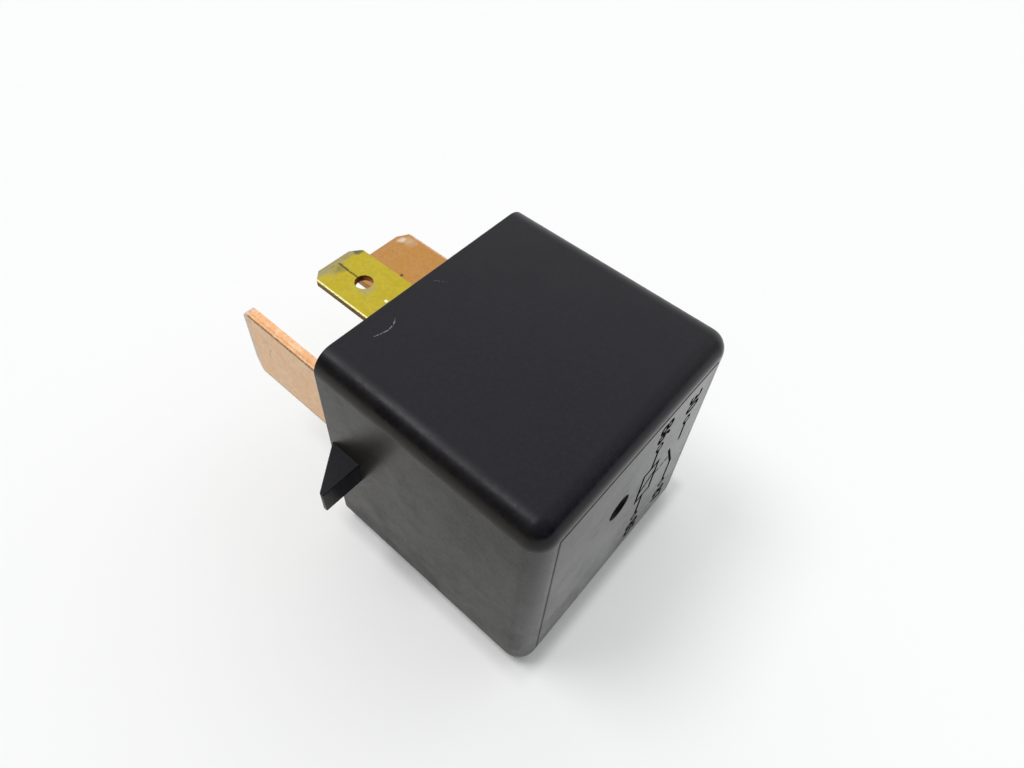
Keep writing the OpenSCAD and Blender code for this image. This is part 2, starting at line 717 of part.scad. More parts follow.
// Bent leaf that holds the armature's edge on the yoke and lifts it off the pole.
module hinge_spring() {
    y_bend = y_arm - (arm_t + rest_gap / 2 - hinge_bend + hinge_bend * sin(open_angle))
             / cos(open_angle);
    y_end = y_yoke_rivet + 2 * rivet_head_r;
    middle = [yoke_x - hinge_bend, y_bend];
    turn = open_angle - 90;
    outer_r = hinge_bend + hinge_t;
    run = -hinge_len * [cos(open_angle), sin(open_angle)];
    inside = concat([[yoke_x, y_end]], arc(middle, hinge_bend, 0, turn));
    outside = concat([[yoke_x + hinge_t, y_end]], arc(middle, outer_r, 0, turn));
    tip = [middle + hinge_bend * [cos(turn), sin(turn)] + run,
           middle + outer_r * [cos(turn), sin(turn)] + run];
    color([0.70, 0.66, 0.48]) difference() {
        translate([0, 0, mid_z]) linear_extrude(height = hinge_w, center = true)
            polygon(concat(inside, tip, [for (i = [len(outside) - 1 : -1 : 0]) outside[i]]));
        translate([yoke_x - sink, y_yoke_rivet, mid_z]) pair(rivet_pitch) rotate([0, 90, 0])
            cylinder(r = rivet_r + fit_gap, h = hinge_t + 2 * sink);
        on_armature() translate([hinge_rivet_x, -arm_t - 4 * hinge_t, 0]) pair(rivet_pitch)
            along_y() cylinder(r = rivet_r + 2 * fit_gap, h = 6 * hinge_t);
    }
}

module yoke_rivets() {
    color([0.75, 0.75, 0.74]) translate([yoke_x + hinge_t, y_yoke_rivet, mid_z])
        pair(rivet_pitch) rotate([0, 90, 0])
            rivet(rivet_head_r, rivet_head_h, rivet_r, yoke_t + hinge_t, rivet_head_r, tail_h);
}

module armature_rivets() {
    lift = hinge_t + rest_gap;
    color([0.75, 0.75, 0.74]) on_armature() {
        translate([hinge_rivet_x, -arm_t - lift, 0]) pair(rivet_pitch) rotate([90, 0, 0])
            rivet(rivet_head_r, rivet_head_h, rivet_r, arm_t + lift, rivet_head_r, tail_h);
        translate([spring_rivet_x, -arm_t - spring_t, 0]) pair(rivet_pitch) rotate([90, 0, 0])
            rivet(rivet_head_r, rivet_head_h, rivet_r, arm_t + spring_t, 0, 0);
    }
}

module moving_contact() {
    color([0.86, 0.86, 0.84]) on_armature() translate([contact_lx, -arm_t, 0]) along_y()
        rivet(contact_r, contact_h, shank_r, spring_t, tail_r, tail_h);
}

module fixed_contact() {
    color([0.86, 0.86, 0.84]) translate([contact_x, y_flange, mid_z]) rotate([90, 0, 0])
        rivet(contact_r, contact_h, shank_r, load_t, tail_r, tail_h);
}

cover();
base();
seal_bead();
terminal_30();
terminal_87();
terminal_86();
terminal_85();
yoke();
core();
bobbin();
winding();
coil_tape();
coil_lead_86();
coil_lead_85();
armature();
contact_spring();
hinge_spring();
yoke_rivets();
armature_rivets();
moving_contact();
fixed_contact();
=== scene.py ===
# %% [markdown]
# # A plug-in relay, finished for its portrait
# The relay is a black moulded box with four stamped blades. Inside, a coil pulls a small steel
# plate, and a pair of contacts closes. Its parts are already drawn to size, so nothing here
# moves or resizes them. This lesson adds what a drawing leaves out: round edges, moulded
# grain, worn metal, a printed diagram, light and a camera.

# %% Load the fitted parts
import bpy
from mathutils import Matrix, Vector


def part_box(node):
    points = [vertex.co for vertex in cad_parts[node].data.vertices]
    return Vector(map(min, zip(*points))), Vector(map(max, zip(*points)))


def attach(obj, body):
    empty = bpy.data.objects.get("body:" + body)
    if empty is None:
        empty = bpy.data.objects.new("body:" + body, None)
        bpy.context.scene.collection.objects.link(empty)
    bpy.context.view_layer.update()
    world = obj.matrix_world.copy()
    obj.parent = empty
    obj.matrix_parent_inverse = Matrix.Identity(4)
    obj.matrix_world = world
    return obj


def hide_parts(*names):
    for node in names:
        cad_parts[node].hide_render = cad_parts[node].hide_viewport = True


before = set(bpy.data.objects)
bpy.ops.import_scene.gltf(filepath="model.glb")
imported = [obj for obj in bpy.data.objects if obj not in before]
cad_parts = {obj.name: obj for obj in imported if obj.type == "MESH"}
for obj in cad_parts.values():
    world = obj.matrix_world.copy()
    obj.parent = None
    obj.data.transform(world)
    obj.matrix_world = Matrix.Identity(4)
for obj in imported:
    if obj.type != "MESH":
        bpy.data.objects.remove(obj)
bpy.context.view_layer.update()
print("parts:", ", ".join(sorted(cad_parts)))

# %% Tools and the unit
import math

import bmesh
import bpy
from mathutils import Matrix, Vector

MM = 0.001
scene = bpy.context.scene

# %% [markdown]
# ## Where the camera stands
# The relay lies on its side, and we look down on it past the corner with the round edges. A
# camera this close needs its near limit moved in to a millimetre, or it would cut the relay off.
# The small shift slides the picture on the sensor without turning the camera.

# %% Stand the camera
camera = bpy.data.objects.new("camera", bpy.data.cameras.new("camera"))
scene.collection.objects.link(camera)
STAND = Vector((-34.14, -23.58, 77.89)) * MM
AIM = (41.11, -3.02, -49.34)
FOCAL_LENGTH = 26.11
SHIFT = -0.0586
NEAR, FAR = 1 * MM, 20
camera.location = STAND
camera.rotation_euler = [math.radians(turn) for turn in AIM]
camera.data.sensor_width = 36
camera.data.lens = FOCAL_LENGTH
camera.data.shift_y = SHIFT
camera.data.clip_start = NEAR
camera.data.clip_end = FAR
scene.camera = camera
print("camera stands", round(camera.location.length / MM), "mm from the relay's foot")

# %% [markdown]
# ## Short names for making nodes
# A material is a tree of nodes. Adding one by hand takes four or five lines each time, so a few
# helpers do it: one adds any node and fills its inputs, the others are the sums, the soft
# steps and the colour mixes that every finish here is made of.

# %% Node helpers
def put(tree, kind, inputs=None, **settings):
    """Adds a node. Each input gets a plain value, or a link if it is another node's output."""
    node = tree.nodes.new(kind)
    for name, value in settings.items():
        setattr(node, name, value)
    for key, value in (inputs or {}).items():
        if isinstance(value, bpy.types.NodeSocket):
            tree.links.new(value, node.inputs[key])
        else:
            node.inputs[key].default_value = value
    return node


def calc(tree, operation, *values):
    """The result of one sum on numbers."""
    return put(tree, "ShaderNodeMath", dict(enumerate(values)), operation=operation).outputs[0]


def move(tree, operation, *values):
    """The node of one sum on points or directions."""
    return put(tree, "ShaderNodeVectorMath", dict(enumerate(values)), operation=operation)


def fade(tree, value, start, end, low=0.0, high=1.0):
    """Turns a value into a soft step: low before start, high after end."""
    inputs = {"Value": value, "From Min": start, "From Max": end, "To Min": low, "To Max": high}
    return put(tree, "ShaderNodeMapRange", inputs, interpolation_type="SMOOTHSTEP").outputs[0]


def tint(tree, share, under, over):
    """Lays one colour over another by a share from 0 to 1."""
    inputs = {0: share, 6: under, 7: over}
    return put(tree, "ShaderNodeMix", inputs, data_type="RGBA").outputs[2]


def colour(red, green, blue):
    """A solid colour, with the alpha that a socket asks for."""
    return (red, green, blue, 1.0)


# %% [markdown]
# ## Floor, room and light
# A black box shows mostly what it reflects. Here that is a pale floor, a room that is dark
# at eye level, and light from above. So the round edges get a dark band with a soft
# bright line next to it. One wide lamp, as soft as a cloth-covered window, gives the
# shadow, and the room gives the rest. Together they light a white card to white.

# %% Lay the floor
FLOOR_REACH = 6
floor_mesh = bpy.data.meshes.new("floor")
bm = bmesh.new()
bmesh.ops.create_grid(bm, x_segments=1, y_segments=1, size=FLOOR_REACH)
bm.to_mesh(floor_mesh)
bm.free()
floor = bpy.data.objects.new("floor", floor_mesh)
scene.collection.objects.link(floor)
print("floor reaches", FLOOR_REACH, "m each way")

# %% [markdown]
# A floor in a bright room is lit by far more than one lamp. A share of plain white, shown to
# the camera and to reflections only, lifts the shadow without lighting the relay. The share
# is small close to the cover, so the floor stays dark where the two touch. How far a point of
# the floor lies from the cover's outline is measured with a few sums on its place.

# %% A floor that stays white
SHADOW_LIFT = 0.45
LIFT_AT_CONTACT = 0.2 * SHADOW_LIFT
LIFT_FROM, LIFT_TO = 0.1 * MM, 1.7 * MM
floor_paper = bpy.data.materials.new("floor_paper")
floor_paper.use_nodes = True
tree = floor_paper.node_tree
sheet = tree.nodes["Principled BSDF"]
sheet.inputs["Base Color"].default_value = colour(0.93, 0.932, 0.93)
sheet.inputs["Roughness"].default_value = 0.85
sheet.inputs["Specular IOR Level"].default_value = 0.2
rays = put(tree, "ShaderNodeLightPath").outputs
seen = calc(tree, "MAXIMUM", rays["Is Camera Ray"], rays["Is Glossy Ray"])
seen = calc(tree, "MAXIMUM", seen, rays["Is Transmission Ray"])
white = put(tree, "ShaderNodeEmission", {"Color": colour(0.97, 0.975, 0.972), "Strength": 1.0})
cover_low, cover_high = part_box("cover")
half_size = (cover_high.x, (cover_high.y - cover_low.y) / 2, 0.0)
floor_point = put(tree, "ShaderNodeTexCoord").outputs["Object"]
either_side = move(tree, "ABSOLUTE", floor_point).outputs[0]
beyond = move(tree, "SUBTRACT", either_side, half_size).outputs[0]
clear = move(tree, "LENGTH", move(tree, "MAXIMUM", beyond, (0, 0, 0)).outputs[0]).outputs["Value"]
lift = fade(tree, clear, LIFT_FROM, LIFT_TO, LIFT_AT_CONTACT, SHADOW_LIFT)
blend = put(tree, "ShaderNodeMixShader", {0: calc(tree, "MULTIPLY", seen, lift),
                                          1: sheet.outputs["BSDF"], 2: white.outputs["Emission"]})
tree.links.new(blend.outputs["Shader"], tree.nodes["Material Output"].inputs["Surface"])
floor_mesh.materials.append(floor_paper)
print("white share", round(LIFT_AT_CONTACT, 2), "at the cover,", SHADOW_LIFT, "away from it")

# %% Hang the window lamp
KEY_TURN = 118
KEY_RISE = 62
KEY_STRENGTH = 1.5
KEY_SPREAD = 24


def towards(turn, rise):
    """A direction from its turn about the vertical and its rise above the floor, in degrees."""
    turn, rise = math.radians(turn), math.radians(rise)
    level = math.cos(rise)
    return Vector((level * math.cos(turn), level * math.sin(turn), math.sin(rise)))


lamp = bpy.data.lights.new("window", "SUN")
lamp.energy = KEY_STRENGTH
lamp.angle = math.radians(KEY_SPREAD)
window = bpy.data.objects.new("window", lamp)
window.rotation_euler = towards(KEY_TURN, KEY_RISE).to_track_quat("Z", "Y").to_euler()
scene.collection.objects.link(window)
print("window lamp", KEY_SPREAD, "degrees wide, rises", KEY_RISE)

# %% [markdown]
# The rest of the room is painted by direction, and the round edges mirror it. The ceiling
# brightens with height, one wall glows, and a bright strip runs low round the room, as if the
# floor went on. The strip fades out towards one dark corner. The long edge over the wedge
# mirrors that corner, and so it gets its dark band.

# %% Paint the room
WALL_TURN, WALL_RISE, WALL_GLOW = 14, 11, 1.35
CORNER_TURN, CORNER_RISE = 153, 5
CEILING_GLOW = (0.05, 0.35)
STRIP_GLOW = 0.94
room = bpy.data.worlds.new("room")
room.use_nodes = True
scene.world = room
sky = room.node_tree
direction = put(sky, "ShaderNodeTexCoord").outputs["Generated"]
rise = put(sky, "ShaderNodeSeparateXYZ", {0: direction}).outputs["Z"]
wall_side = towards(WALL_TURN, WALL_RISE)
to_wall = move(sky, "DOT_PRODUCT", direction, wall_side).outputs["Value"]
ceiling = fade(sky, rise, 0.30, 0.80, *CEILING_GLOW)
wall = fade(sky, to_wall, 0.00, 1.00, 0.0, WALL_GLOW)
dark_corner = towards(CORNER_TURN, CORNER_RISE)
to_corner = move(sky, "DOT_PRODUCT", direction, dark_corner).outputs["Value"]
low_strip = calc(sky, "MULTIPLY", fade(sky, rise, 0.08, 0.18, STRIP_GLOW, 0.0),
                 fade(sky, to_corner, 0.60, 0.92, 1.0, 0.0))
glow = calc(sky, "MAXIMUM", calc(sky, "ADD", ceiling, wall), low_strip)
sky.links.new(glow, sky.nodes["Background"].inputs["Strength"])
sky.nodes["Background"].inputs["Color"].default_value = colour(0.985, 0.995, 1.0)
scene.view_settings.view_transform = "Standard"
print("bright wall at", WALL_TURN, "degrees, dark corner at", CORNER_TURN)

# %% [markdown]
# ## Effects that several finishes share
# Grain, blotches, specks, rubbed edges, rolling streaks, round marks and hairlines turn up on
# plastic and metal alike, and so do the skins of strip metal and of plating. Each is made once
# as a group with named inputs, and every finish then uses it with its own numbers. All of them
# read the point on the piece itself, so a pattern stays put wherever the camera goes. They put
# out only masks, heights, colours and roughness.

# %% A group with named sockets
def new_group(name, inputs, outputs):
    """An empty group. A first value of three numbers is a point, and one of four is a colour."""
    tree = bpy.data.node_groups.new(name, "ShaderNodeTree")
    kinds = {3: "NodeSocketVector", 4: "NodeSocketColor"}
    for label, value in inputs.items():
        kind = kinds[len(value)] if isinstance(value, tuple) else "NodeSocketFloat"
        socket = tree.interface.new_socket(name=label, in_out="INPUT", socket_type=kind)
        socket.default_value = value
    for label in outputs:
        kind = kinds[4] if label == "Colour" else "NodeSocketFloat"
        tree.interface.new_socket(name=label, in_out="OUTPUT", socket_type=kind)
    given = tree.nodes.new("NodeGroupInput").outputs
    result = tree.nodes.new("NodeGroupOutput").inputs
    return tree, given, result


def place_on(tree):
    """The point on the piece, in metres from the relay's origin."""
    return put(tree, "ShaderNodeTexCoord").outputs["Object"]


def use(tree, group, **values):
    """Places a group in a tree. A name such as Low_Edge sets the input Low Edge."""
    inputs = {name.replace("_", " "): value for name, value in values.items()}
    return put(tree, "ShaderNodeGroup", inputs, node_tree=group).outputs


# %% Grain of a spark-worn mould
grain, given, result = new_group("moulded_grain", {"Scale": 4000.0}, ["Height"])
at = place_on(grain)
fine = put(grain, "ShaderNodeTexNoise", {"Vector": at, "Scale": given["Scale"], "Detail": 3.0,
                                         "Roughness": 0.6}).outputs["Fac"]
half_scale = calc(grain, "MULTIPLY", given["Scale"], 0.45)
pebble = put(grain, "ShaderNodeTexVoronoi", {"Vector": at, "Scale": half_scale},
             feature="SMOOTH_F1").outputs["Distance"]
grain.links.new(calc(grain, "MULTIPLY_ADD", pebble, 0.5, fine), result["Height"])

# %% Soft blotches
blotches, given, result = new_group(
    "soft_blotches", {"Scale": 200.0, "From": 0.45, "To": 0.65, "Detail": 4.0}, ["Mask"])
cloud = put(blotches, "ShaderNodeTexNoise", {"Vector": place_on(blotches), "Scale": given["Scale"],
                                             "Detail": given["Detail"]}).outputs["Fac"]
blotches.links.new(fade(blotches, cloud, given["From"], given["To"]), result["Mask"])

# %% Specks
specks, given, result = new_group(
    "specks", {"Scale": 600.0, "Radius": 0.06, "Share": 0.1}, ["Mask"])
cells = put(specks, "ShaderNodeTexVoronoi", {"Vector": place_on(specks), "Scale": given["Scale"]})
chance = put(specks, "ShaderNodeSeparateColor", {"Color": cells.outputs["Color"]}).outputs["Red"]
near = calc(specks, "LESS_THAN", cells.outputs["Distance"], given["Radius"])
specks.links.new(calc(specks, "MULTIPLY", near, calc(specks, "LESS_THAN", chance, given["Share"])),
                 result["Mask"])

# %% Rubbed edges
# On a boxy piece only the rounded edges have a normal that points between two axes.
rubbed, given, result = new_group(
    "rubbed_edges", {"From": 0.02, "To": 0.2, "Scale": 900.0, "Broken": 0.5}, ["Mask"])
normal = put(rubbed, "ShaderNodeTexCoord").outputs["Normal"]
either_way = move(rubbed, "ABSOLUTE", normal).outputs[0]
along_axes = put(rubbed, "ShaderNodeSeparateXYZ", {0: either_way}).outputs
largest = calc(rubbed, "MAXIMUM", calc(rubbed, "MAXIMUM", along_axes["X"], along_axes["Y"]),
               along_axes["Z"])
turned = fade(rubbed, calc(rubbed, "SUBTRACT", 1.0, largest), given["From"], given["To"])
patchy = put(rubbed, "ShaderNodeTexNoise", {"Vector": place_on(rubbed), "Scale": given["Scale"],
                                            "Detail": 3.0}).outputs["Fac"]
cut = calc(rubbed, "MULTIPLY", fade(rubbed, patchy, 0.62, 0.42), given["Broken"])
rubbed.links.new(calc(rubbed, "MULTIPLY", turned, calc(rubbed, "SUBTRACT", 1.0, cut)),
                 result["Mask"])

# %% Streaks left by rolling and drawing
streaks, given, result = new_group(
    "rolled_streaks", {"Stretch": (1.0, 1.0, 1.0), "Scale": 3000.0}, ["Height"])
squeezed = move(streaks, "MULTIPLY", place_on(streaks), given["Stretch"]).outputs[0]
drawn = put(streaks, "ShaderNodeTexNoise", {"Vector": squeezed, "Scale": given["Scale"],
                                            "Detail": 3.0, "Roughness": 0.65}).outputs["Fac"]
streaks.links.new(drawn, result["Height"])

# %% A round mark with a ragged edge
mark, given, result = new_group(
    "round_mark", {"Centre": (0.0, 0.0, 0.0), "Radius": 0.001, "Softness": 0.0005,
                   "Ragged": 0.0005, "Scale": 1500.0}, ["Mask"])
at = place_on(mark)
reach = move(mark, "DISTANCE", at, given["Centre"]).outputs["Value"]
wobble = put(mark, "ShaderNodeTexNoise", {"Vector": at, "Scale": given["Scale"],
                                          "Detail": 4.0}).outputs["Fac"]
shifted = calc(mark, "MULTIPLY_ADD", calc(mark, "SUBTRACT", wobble, 0.5), given["Ragged"], reach)
inner = calc(mark, "SUBTRACT", given["Radius"], given["Softness"])
mark.links.new(fade(mark, shifted, inner, given["Radius"], 1.0, 0.0), result["Mask"])

# %% A hairline between two points
hairline, given, result = new_group(
    "hairline", {"Start": (0.0, 0.0, 0.0), "End": (0.001, 0.0, 0.0), "Width": 0.00005,
                 "Bend": 0.0001, "Broken": 0.5}, ["Mask"])
at = place_on(hairline)
bend = put(hairline, "ShaderNodeTexNoise", {"Vector": at, "Scale": 900.0, "Detail": 2.0})
offset = move(hairline, "SUBTRACT", bend.outputs["Color"], (0.5, 0.5, 0.5)).outputs[0]
sway = put(hairline, "ShaderNodeCombineXYZ", {0: given["Bend"], 1: given["Bend"]}).outputs[0]
swayed = move(hairline, "MULTIPLY_ADD", offset, sway, at).outputs[0]
along = move(hairline, "SUBTRACT", given["End"], given["Start"]).outputs[0]
from_start = move(hairline, "SUBTRACT", swayed, given["Start"]).outputs[0]
square = move(hairline, "DOT_PRODUCT", along, along).outputs["Value"]
share = calc(hairline, "DIVIDE", move(hairline, "DOT_PRODUCT", from_start, along).outputs["Value"],
             square)
held = put(hairline, "ShaderNodeClamp", {"Value": share}).outputs[0]
nearest = put(hairline, "ShaderNodeVectorMath", {0: along, "Scale": held},
              operation="SCALE").outputs[0]
miss = move(hairline, "DISTANCE", from_start, nearest).outputs["Value"]
core = calc(hairline, "MULTIPLY", given["Width"], 0.4)
thin = fade(hairline, miss, core, given["Width"], 1.0, 0.0)
gaps = put(hairline, "ShaderNodeTexNoise", {"Vector": at, "Scale": 5000.0}).outputs["Fac"]
kept = calc(hairline, "SUBTRACT", 1.0, calc(hairline, "MULTIPLY", fade(hairline, gaps, 0.55, 0.42),
                                            given["Broken"]))
hairline.links.new(calc(hairline, "MULTIPLY", thin, kept), result["Mask"])

# %% The bevelled tip of a blade
TIP_FADE = 0.1 * MM
blade_tip, given, result = new_group("blade_tip", {"From": 0.02}, ["Mask"])
y = put(blade_tip, "ShaderNodeSeparateXYZ", {0: place_on(blade_tip)}).outputs["Y"]
blade_tip.links.new(fade(blade_tip, y, calc(blade_tip, "SUBTRACT", given["From"], TIP_FADE),
                         calc(blade_tip, "ADD", given["From"], TIP_FADE)), result["Mask"])

# %% Faces that look along an axis, either way
faces_along, given, result = new_group("faces_along", {"Axis": (0.0, 0.0, 1.0)}, ["Mask"])
normal = put(faces_along, "ShaderNodeTexCoord").outputs["Normal"]
agreement = calc(faces_along, "ABSOLUTE",
                 move(faces_along, "DOT_PRODUCT", normal, given["Axis"]).outputs["Value"])
faces_along.links.new(fade(faces_along, agreement, 0.6, 0.85), result["Mask"])

# %% The skin of a rolled strip that lies along Y: streaks, age and dirt
rolled_strip, given, result = new_group(
    "rolled_strip", {"Body": colour(0.5, 0.3, 0.1), "Pale": colour(0.6, 0.4, 0.2),
                     "Dark": colour(0.2, 0.1, 0.05)}, ["Colour", "Rolled", "Aged"])
lines = use(rolled_strip, streaks, Stretch=(1.0, 0.06, 1.0), Scale=9000.0)["Height"]
old = use(rolled_strip, blotches, Scale=480.0, From=0.40, To=0.66)["Mask"]
fine_old = use(rolled_strip, blotches, Scale=2400.0, From=0.42, To=0.64)["Mask"]
metal = tint(rolled_strip, calc(rolled_strip, "MULTIPLY", old, 0.55), given["Body"], given["Pale"])
metal = tint(rolled_strip, calc(rolled_strip, "MULTIPLY", fine_old, 0.18), metal, given["Dark"])
dirt = use(rolled_strip, specks, Scale=900.0, Radius=0.09, Share=0.07)["Mask"]
metal = tint(rolled_strip, calc(rolled_strip, "MULTIPLY", dirt, 0.7), metal, given["Dark"])
rolled_strip.links.new(metal, result["Colour"])
rolled_strip.links.new(lines, result["Rolled"])
rolled_strip.links.new(old, result["Aged"])

# %% The skin of plated metal: a faint cloud and fine lines
plating, given, result = new_group(
    "plated_metal", {"Light": colour(0.6, 0.6, 0.6), "Dark": colour(0.5, 0.5, 0.5),
                     "Stretch": (1.0, 1.0, 1.0), "Smooth": 0.25, "Rough": 0.4},
    ["Colour", "Roughness", "Height"])
lines = use(plating, streaks, Stretch=given["Stretch"], Scale=9000.0)["Height"]
cloudy = use(plating, blotches, Scale=1400.0, From=0.25, To=0.75, Detail=6.0)["Mask"]
plating.links.new(tint(plating, cloudy, given["Light"], given["Dark"]), result["Colour"])
plating.links.new(fade(plating, lines, 0.3, 0.7, given["Smooth"], given["Rough"]),
                  result["Roughness"])
plating.links.new(lines, result["Height"])
print("shared effects:", ", ".join(group.name for group in bpy.data.node_groups))

# %% [markdown]
# ## A start for every finish
# Each finish is one Principled shader. What is the same all over, such as the refraction of
# plastic, is set on its own socket. Only what changes over the surface comes through nodes.


def new_finish(name, in_parts_list=True, **steady):
    """A material, its tree and its shader, steady values set."""
    material = bpy.data.materials.new(name + "_finish")
    material.use_nodes = True
    tree = material.node_tree
    shader = tree.nodes["Principled BSDF"]
    for label, value in steady.items():
        shader.inputs[label.replace("_", " ")].default_value = value
    return material, tree, shader


def roughen(tree, shader, height, depth, strength):
    """Presses a height into the shader's normal, in metres of depth."""
    bump = put(tree, "ShaderNodeBump", {"Height": height, "Distance": depth,
                                        "Strength": strength}).outputs["Normal"]
    tree.links.new(bump, shader.inputs["Normal"])


# %% [markdown]
# ## Sizes of the cover
# The cover's outer sizes come from the drawn part. What only shows close up is set here: the
# rounding, the thin raised panel on the closed end, the dimple where plastic entered the mould,
# and the thickness of the print. The whole closed end sits back by that thickness, so the print
# lies flush with the drawn part and nothing grows.

# %% Sizes of the cover
WALL = 1.0 * MM
EDGE_R = 2.2 * MM
END_R = 2.0 * MM
PANEL_STEP = 0.045 * MM
PANEL_MARGIN = 2.3 * MM
PRINT = 0.012 * MM
GATE = Vector((-1.6, 16.7)) * MM
GATE_R = 1.45 * MM
GATE_DEPTH = 0.3 * MM
side = cover_high.x
closed_y = cover_low.y + PRINT
rim_y = cover_high.y
height = cover_high.z
print("cover", round(2 * side / MM, 1), "by", round(height / MM, 1), "mm, deep",
      round((rim_y - closed_y) / MM, 1))

# %% [markdown]
# ## Black cover plastic
# The cover is nylon filled with glass, moulded in a tool with a fine spark finish. It isn't a
# pure black: dust and handling lift it, brown blotches come in towards the bottom, and the round
# edges are rubbed a little smoother than the flats. The long walls carry painted light: their
# colour is a little lighter and warmer than the rest. A brown band runs along the panel's step.

# %% Cover plastic: its colour
BROWN_UP_TO = 13 * MM
BROWN_FULL_AT = 1 * MM
cover_plastic, tree, shader = new_finish("cover_plastic", IOR=1.31)
spark = use(tree, grain, Scale=5200.0)["Height"]
handled = use(tree, blotches, Scale=110.0, From=0.40, To=0.72)["Mask"]
fingered = use(tree, blotches, Scale=380.0, From=0.42, To=0.66, Detail=6.0)["Mask"]
point = put(tree, "ShaderNodeSeparateXYZ", {0: place_on(tree)}).outputs
# Blotches that turn the cover browner towards the bottom
low_down = fade(tree, point["Z"], BROWN_UP_TO, BROWN_FULL_AT)
low_blotches = use(tree, blotches, Scale=420.0, From=0.34, To=0.76, Detail=9.0)["Mask"]
browned_low = calc(tree, "MULTIPLY", low_blotches, low_down)
normal = put(tree, "ShaderNodeTexCoord").outputs["Normal"]
squared = move(tree, "MULTIPLY", normal, normal).outputs[0]
long_walls = put(tree, "ShaderNodeSeparateXYZ", {0: squared}).outputs["X"]
skin = tint(tree, handled, colour(0.0024, 0.0019, 0.0060), colour(0.0036, 0.0030, 0.0070))
skin = tint(tree, fade(tree, spark, 0.55, 1.05), skin, colour(0.0070, 0.0064, 0.0105))
# Painted light: the long walls get a lighter, warmer colour than the rest of the cover
skin = tint(tree, long_walls, skin, colour(0.0105, 0.0082, 0.0052))
skin = tint(tree, calc(tree, "MULTIPLY", browned_low, 0.55), skin, colour(0.030, 0.023, 0.016))
pits = use(tree, specks, Scale=900.0, Radius=0.10, Share=0.10)["Mask"]
dust = use(tree, specks, Scale=460.0, Radius=0.03, Share=0.045)["Mask"]

# %% Cover plastic: a brown band along the panel's step
STEP_BAND_FROM, STEP_BAND_TO = 0.26 * MM, 0.06 * MM
middle = (0, 0, height / 2)
half_panel = (side - PANEL_MARGIN, 0, height / 2 - PANEL_MARGIN)
from_middle = move(tree, "SUBTRACT", place_on(tree), middle).outputs[0]
past_panel = move(tree, "SUBTRACT", move(tree, "ABSOLUTE", from_middle).outputs[0], half_panel)
past = put(tree, "ShaderNodeSeparateXYZ", {0: past_panel.outputs[0]}).outputs
to_step = calc(tree, "ABSOLUTE", calc(tree, "MAXIMUM", past["X"], past["Z"]))
at_end = fade(tree, point["Y"], closed_y + 0.4 * MM, closed_y + 0.2 * MM)
step_band = calc(tree, "MULTIPLY", fade(tree, to_step, STEP_BAND_FROM, STEP_BAND_TO), at_end)
skin = tint(tree, calc(tree, "MULTIPLY", step_band, 0.8), skin, colour(0.060, 0.046, 0.034))

# %% Cover plastic: pale dust and scratches
PALE_DUST = colour(0.30, 0.30, 0.29)
TOP_FACE = 28
skin = tint(tree, calc(tree, "MULTIPLY", dust, 0.3), skin, PALE_DUST)
scratch_path = [Vector((x, y, TOP_FACE)) * MM for x, y in
                ((-8.6, 10.56), (-7.4, 10.28), (-6.7, 10.38), (-5.95, 10.76))]
scratch = 0.0
for start, end in zip(scratch_path, scratch_path[1:]):
    line = use(tree, hairline, Start=start, End=end, Width=0.075 * MM, Bend=0.32 * MM, Broken=0.95)
    scratch = calc(tree, "MAXIMUM", scratch, line["Mask"])
faint = use(tree, hairline, Start=Vector((-0.2, 11.6, TOP_FACE)) * MM,
            End=Vector((0.4, 10.6, TOP_FACE)) * MM, Width=0.06 * MM, Bend=0.3 * MM,
            Broken=0.9)["Mask"]
scratch = calc(tree, "MAXIMUM", scratch, calc(tree, "MULTIPLY", faint, 0.3))
skin = tint(tree, calc(tree, "MULTIPLY", scratch, 0.75), skin, PALE_DUST)
tree.links.new(skin, shader.inputs["Base Color"])

# %% Cover plastic: its gloss and relief
# The sides of the tool are polished differently: walls, closed end, then top and bottom
SIDE_ROUGHNESS = (0.34, 0.17, 0.46)
PIT_DEPTH = 2.5
rough = move(tree, "DOT_PRODUCT", squared, SIDE_ROUGHNESS).outputs["Value"]
polished = use(tree, rubbed, From=0.005, To=0.10, Scale=900.0, Broken=0.6)["Mask"]
rough = calc(tree, "SUBTRACT", rough, calc(tree, "MULTIPLY", polished, 0.12))
rough = calc(tree, "ADD", rough, fade(tree, spark, 0.4, 1.1, -0.03, 0.05))
rough = calc(tree, "MULTIPLY_ADD", fingered, 0.035, rough)
rough = calc(tree, "MULTIPLY_ADD", handled, 0.05, calc(tree, "SUBTRACT", rough, 0.02))
rough = calc(tree, "MULTIPLY_ADD", calc(tree, "ADD", browned_low, scratch), 0.10, rough)
rough = calc(tree, "MULTIPLY_ADD", step_band, 0.20, rough)
tree.links.new(rough, shader.inputs["Roughness"])
relief = calc(tree, "SUBTRACT", spark, calc(tree, "MULTIPLY", pits, PIT_DEPTH))
roughen(tree, shader, relief, 0.012 * MM, 0.6)
print("cover plastic has", len(tree.nodes), "nodes")

# %% [markdown]
# ## The moulded cover
# The cover is a deep cup with a wall of one millimetre. It could be carved out of a block, but
# rounding comes out cleaner on a skin: a box with its open side deleted, its long edges
# rounded first and its closed end second. The skin then gets its wall inwards, all at once.

# %% A cup open towards +Y
def bevel(bm, edges, width, steps):
    """Rounds edges."""
    bmesh.ops.bevel(bm, geom=edges, offset=width, offset_type="OFFSET", segments=steps,
                    profile=0.5, affect="EDGES", clamp_overlap=True, material=-1)


def block(bm, low, high):
    """Adds a box between two corners and returns its vertices."""
    verts = bmesh.ops.create_cube(bm, size=1.0)["verts"]
    low, high = Vector(low), Vector(high)
    bmesh.ops.scale(bm, vec=high - low, verts=verts)
    bmesh.ops.translate(bm, vec=(low + high) / 2, verts=verts)
    return verts


def lies_at(edge_or_face, axis, value):
    """Whether every corner of an edge or face lies at one value on an axis."""
    return all(abs(v.co[axis] - value) < 0.001 * MM for v in edge_or_face.verts)


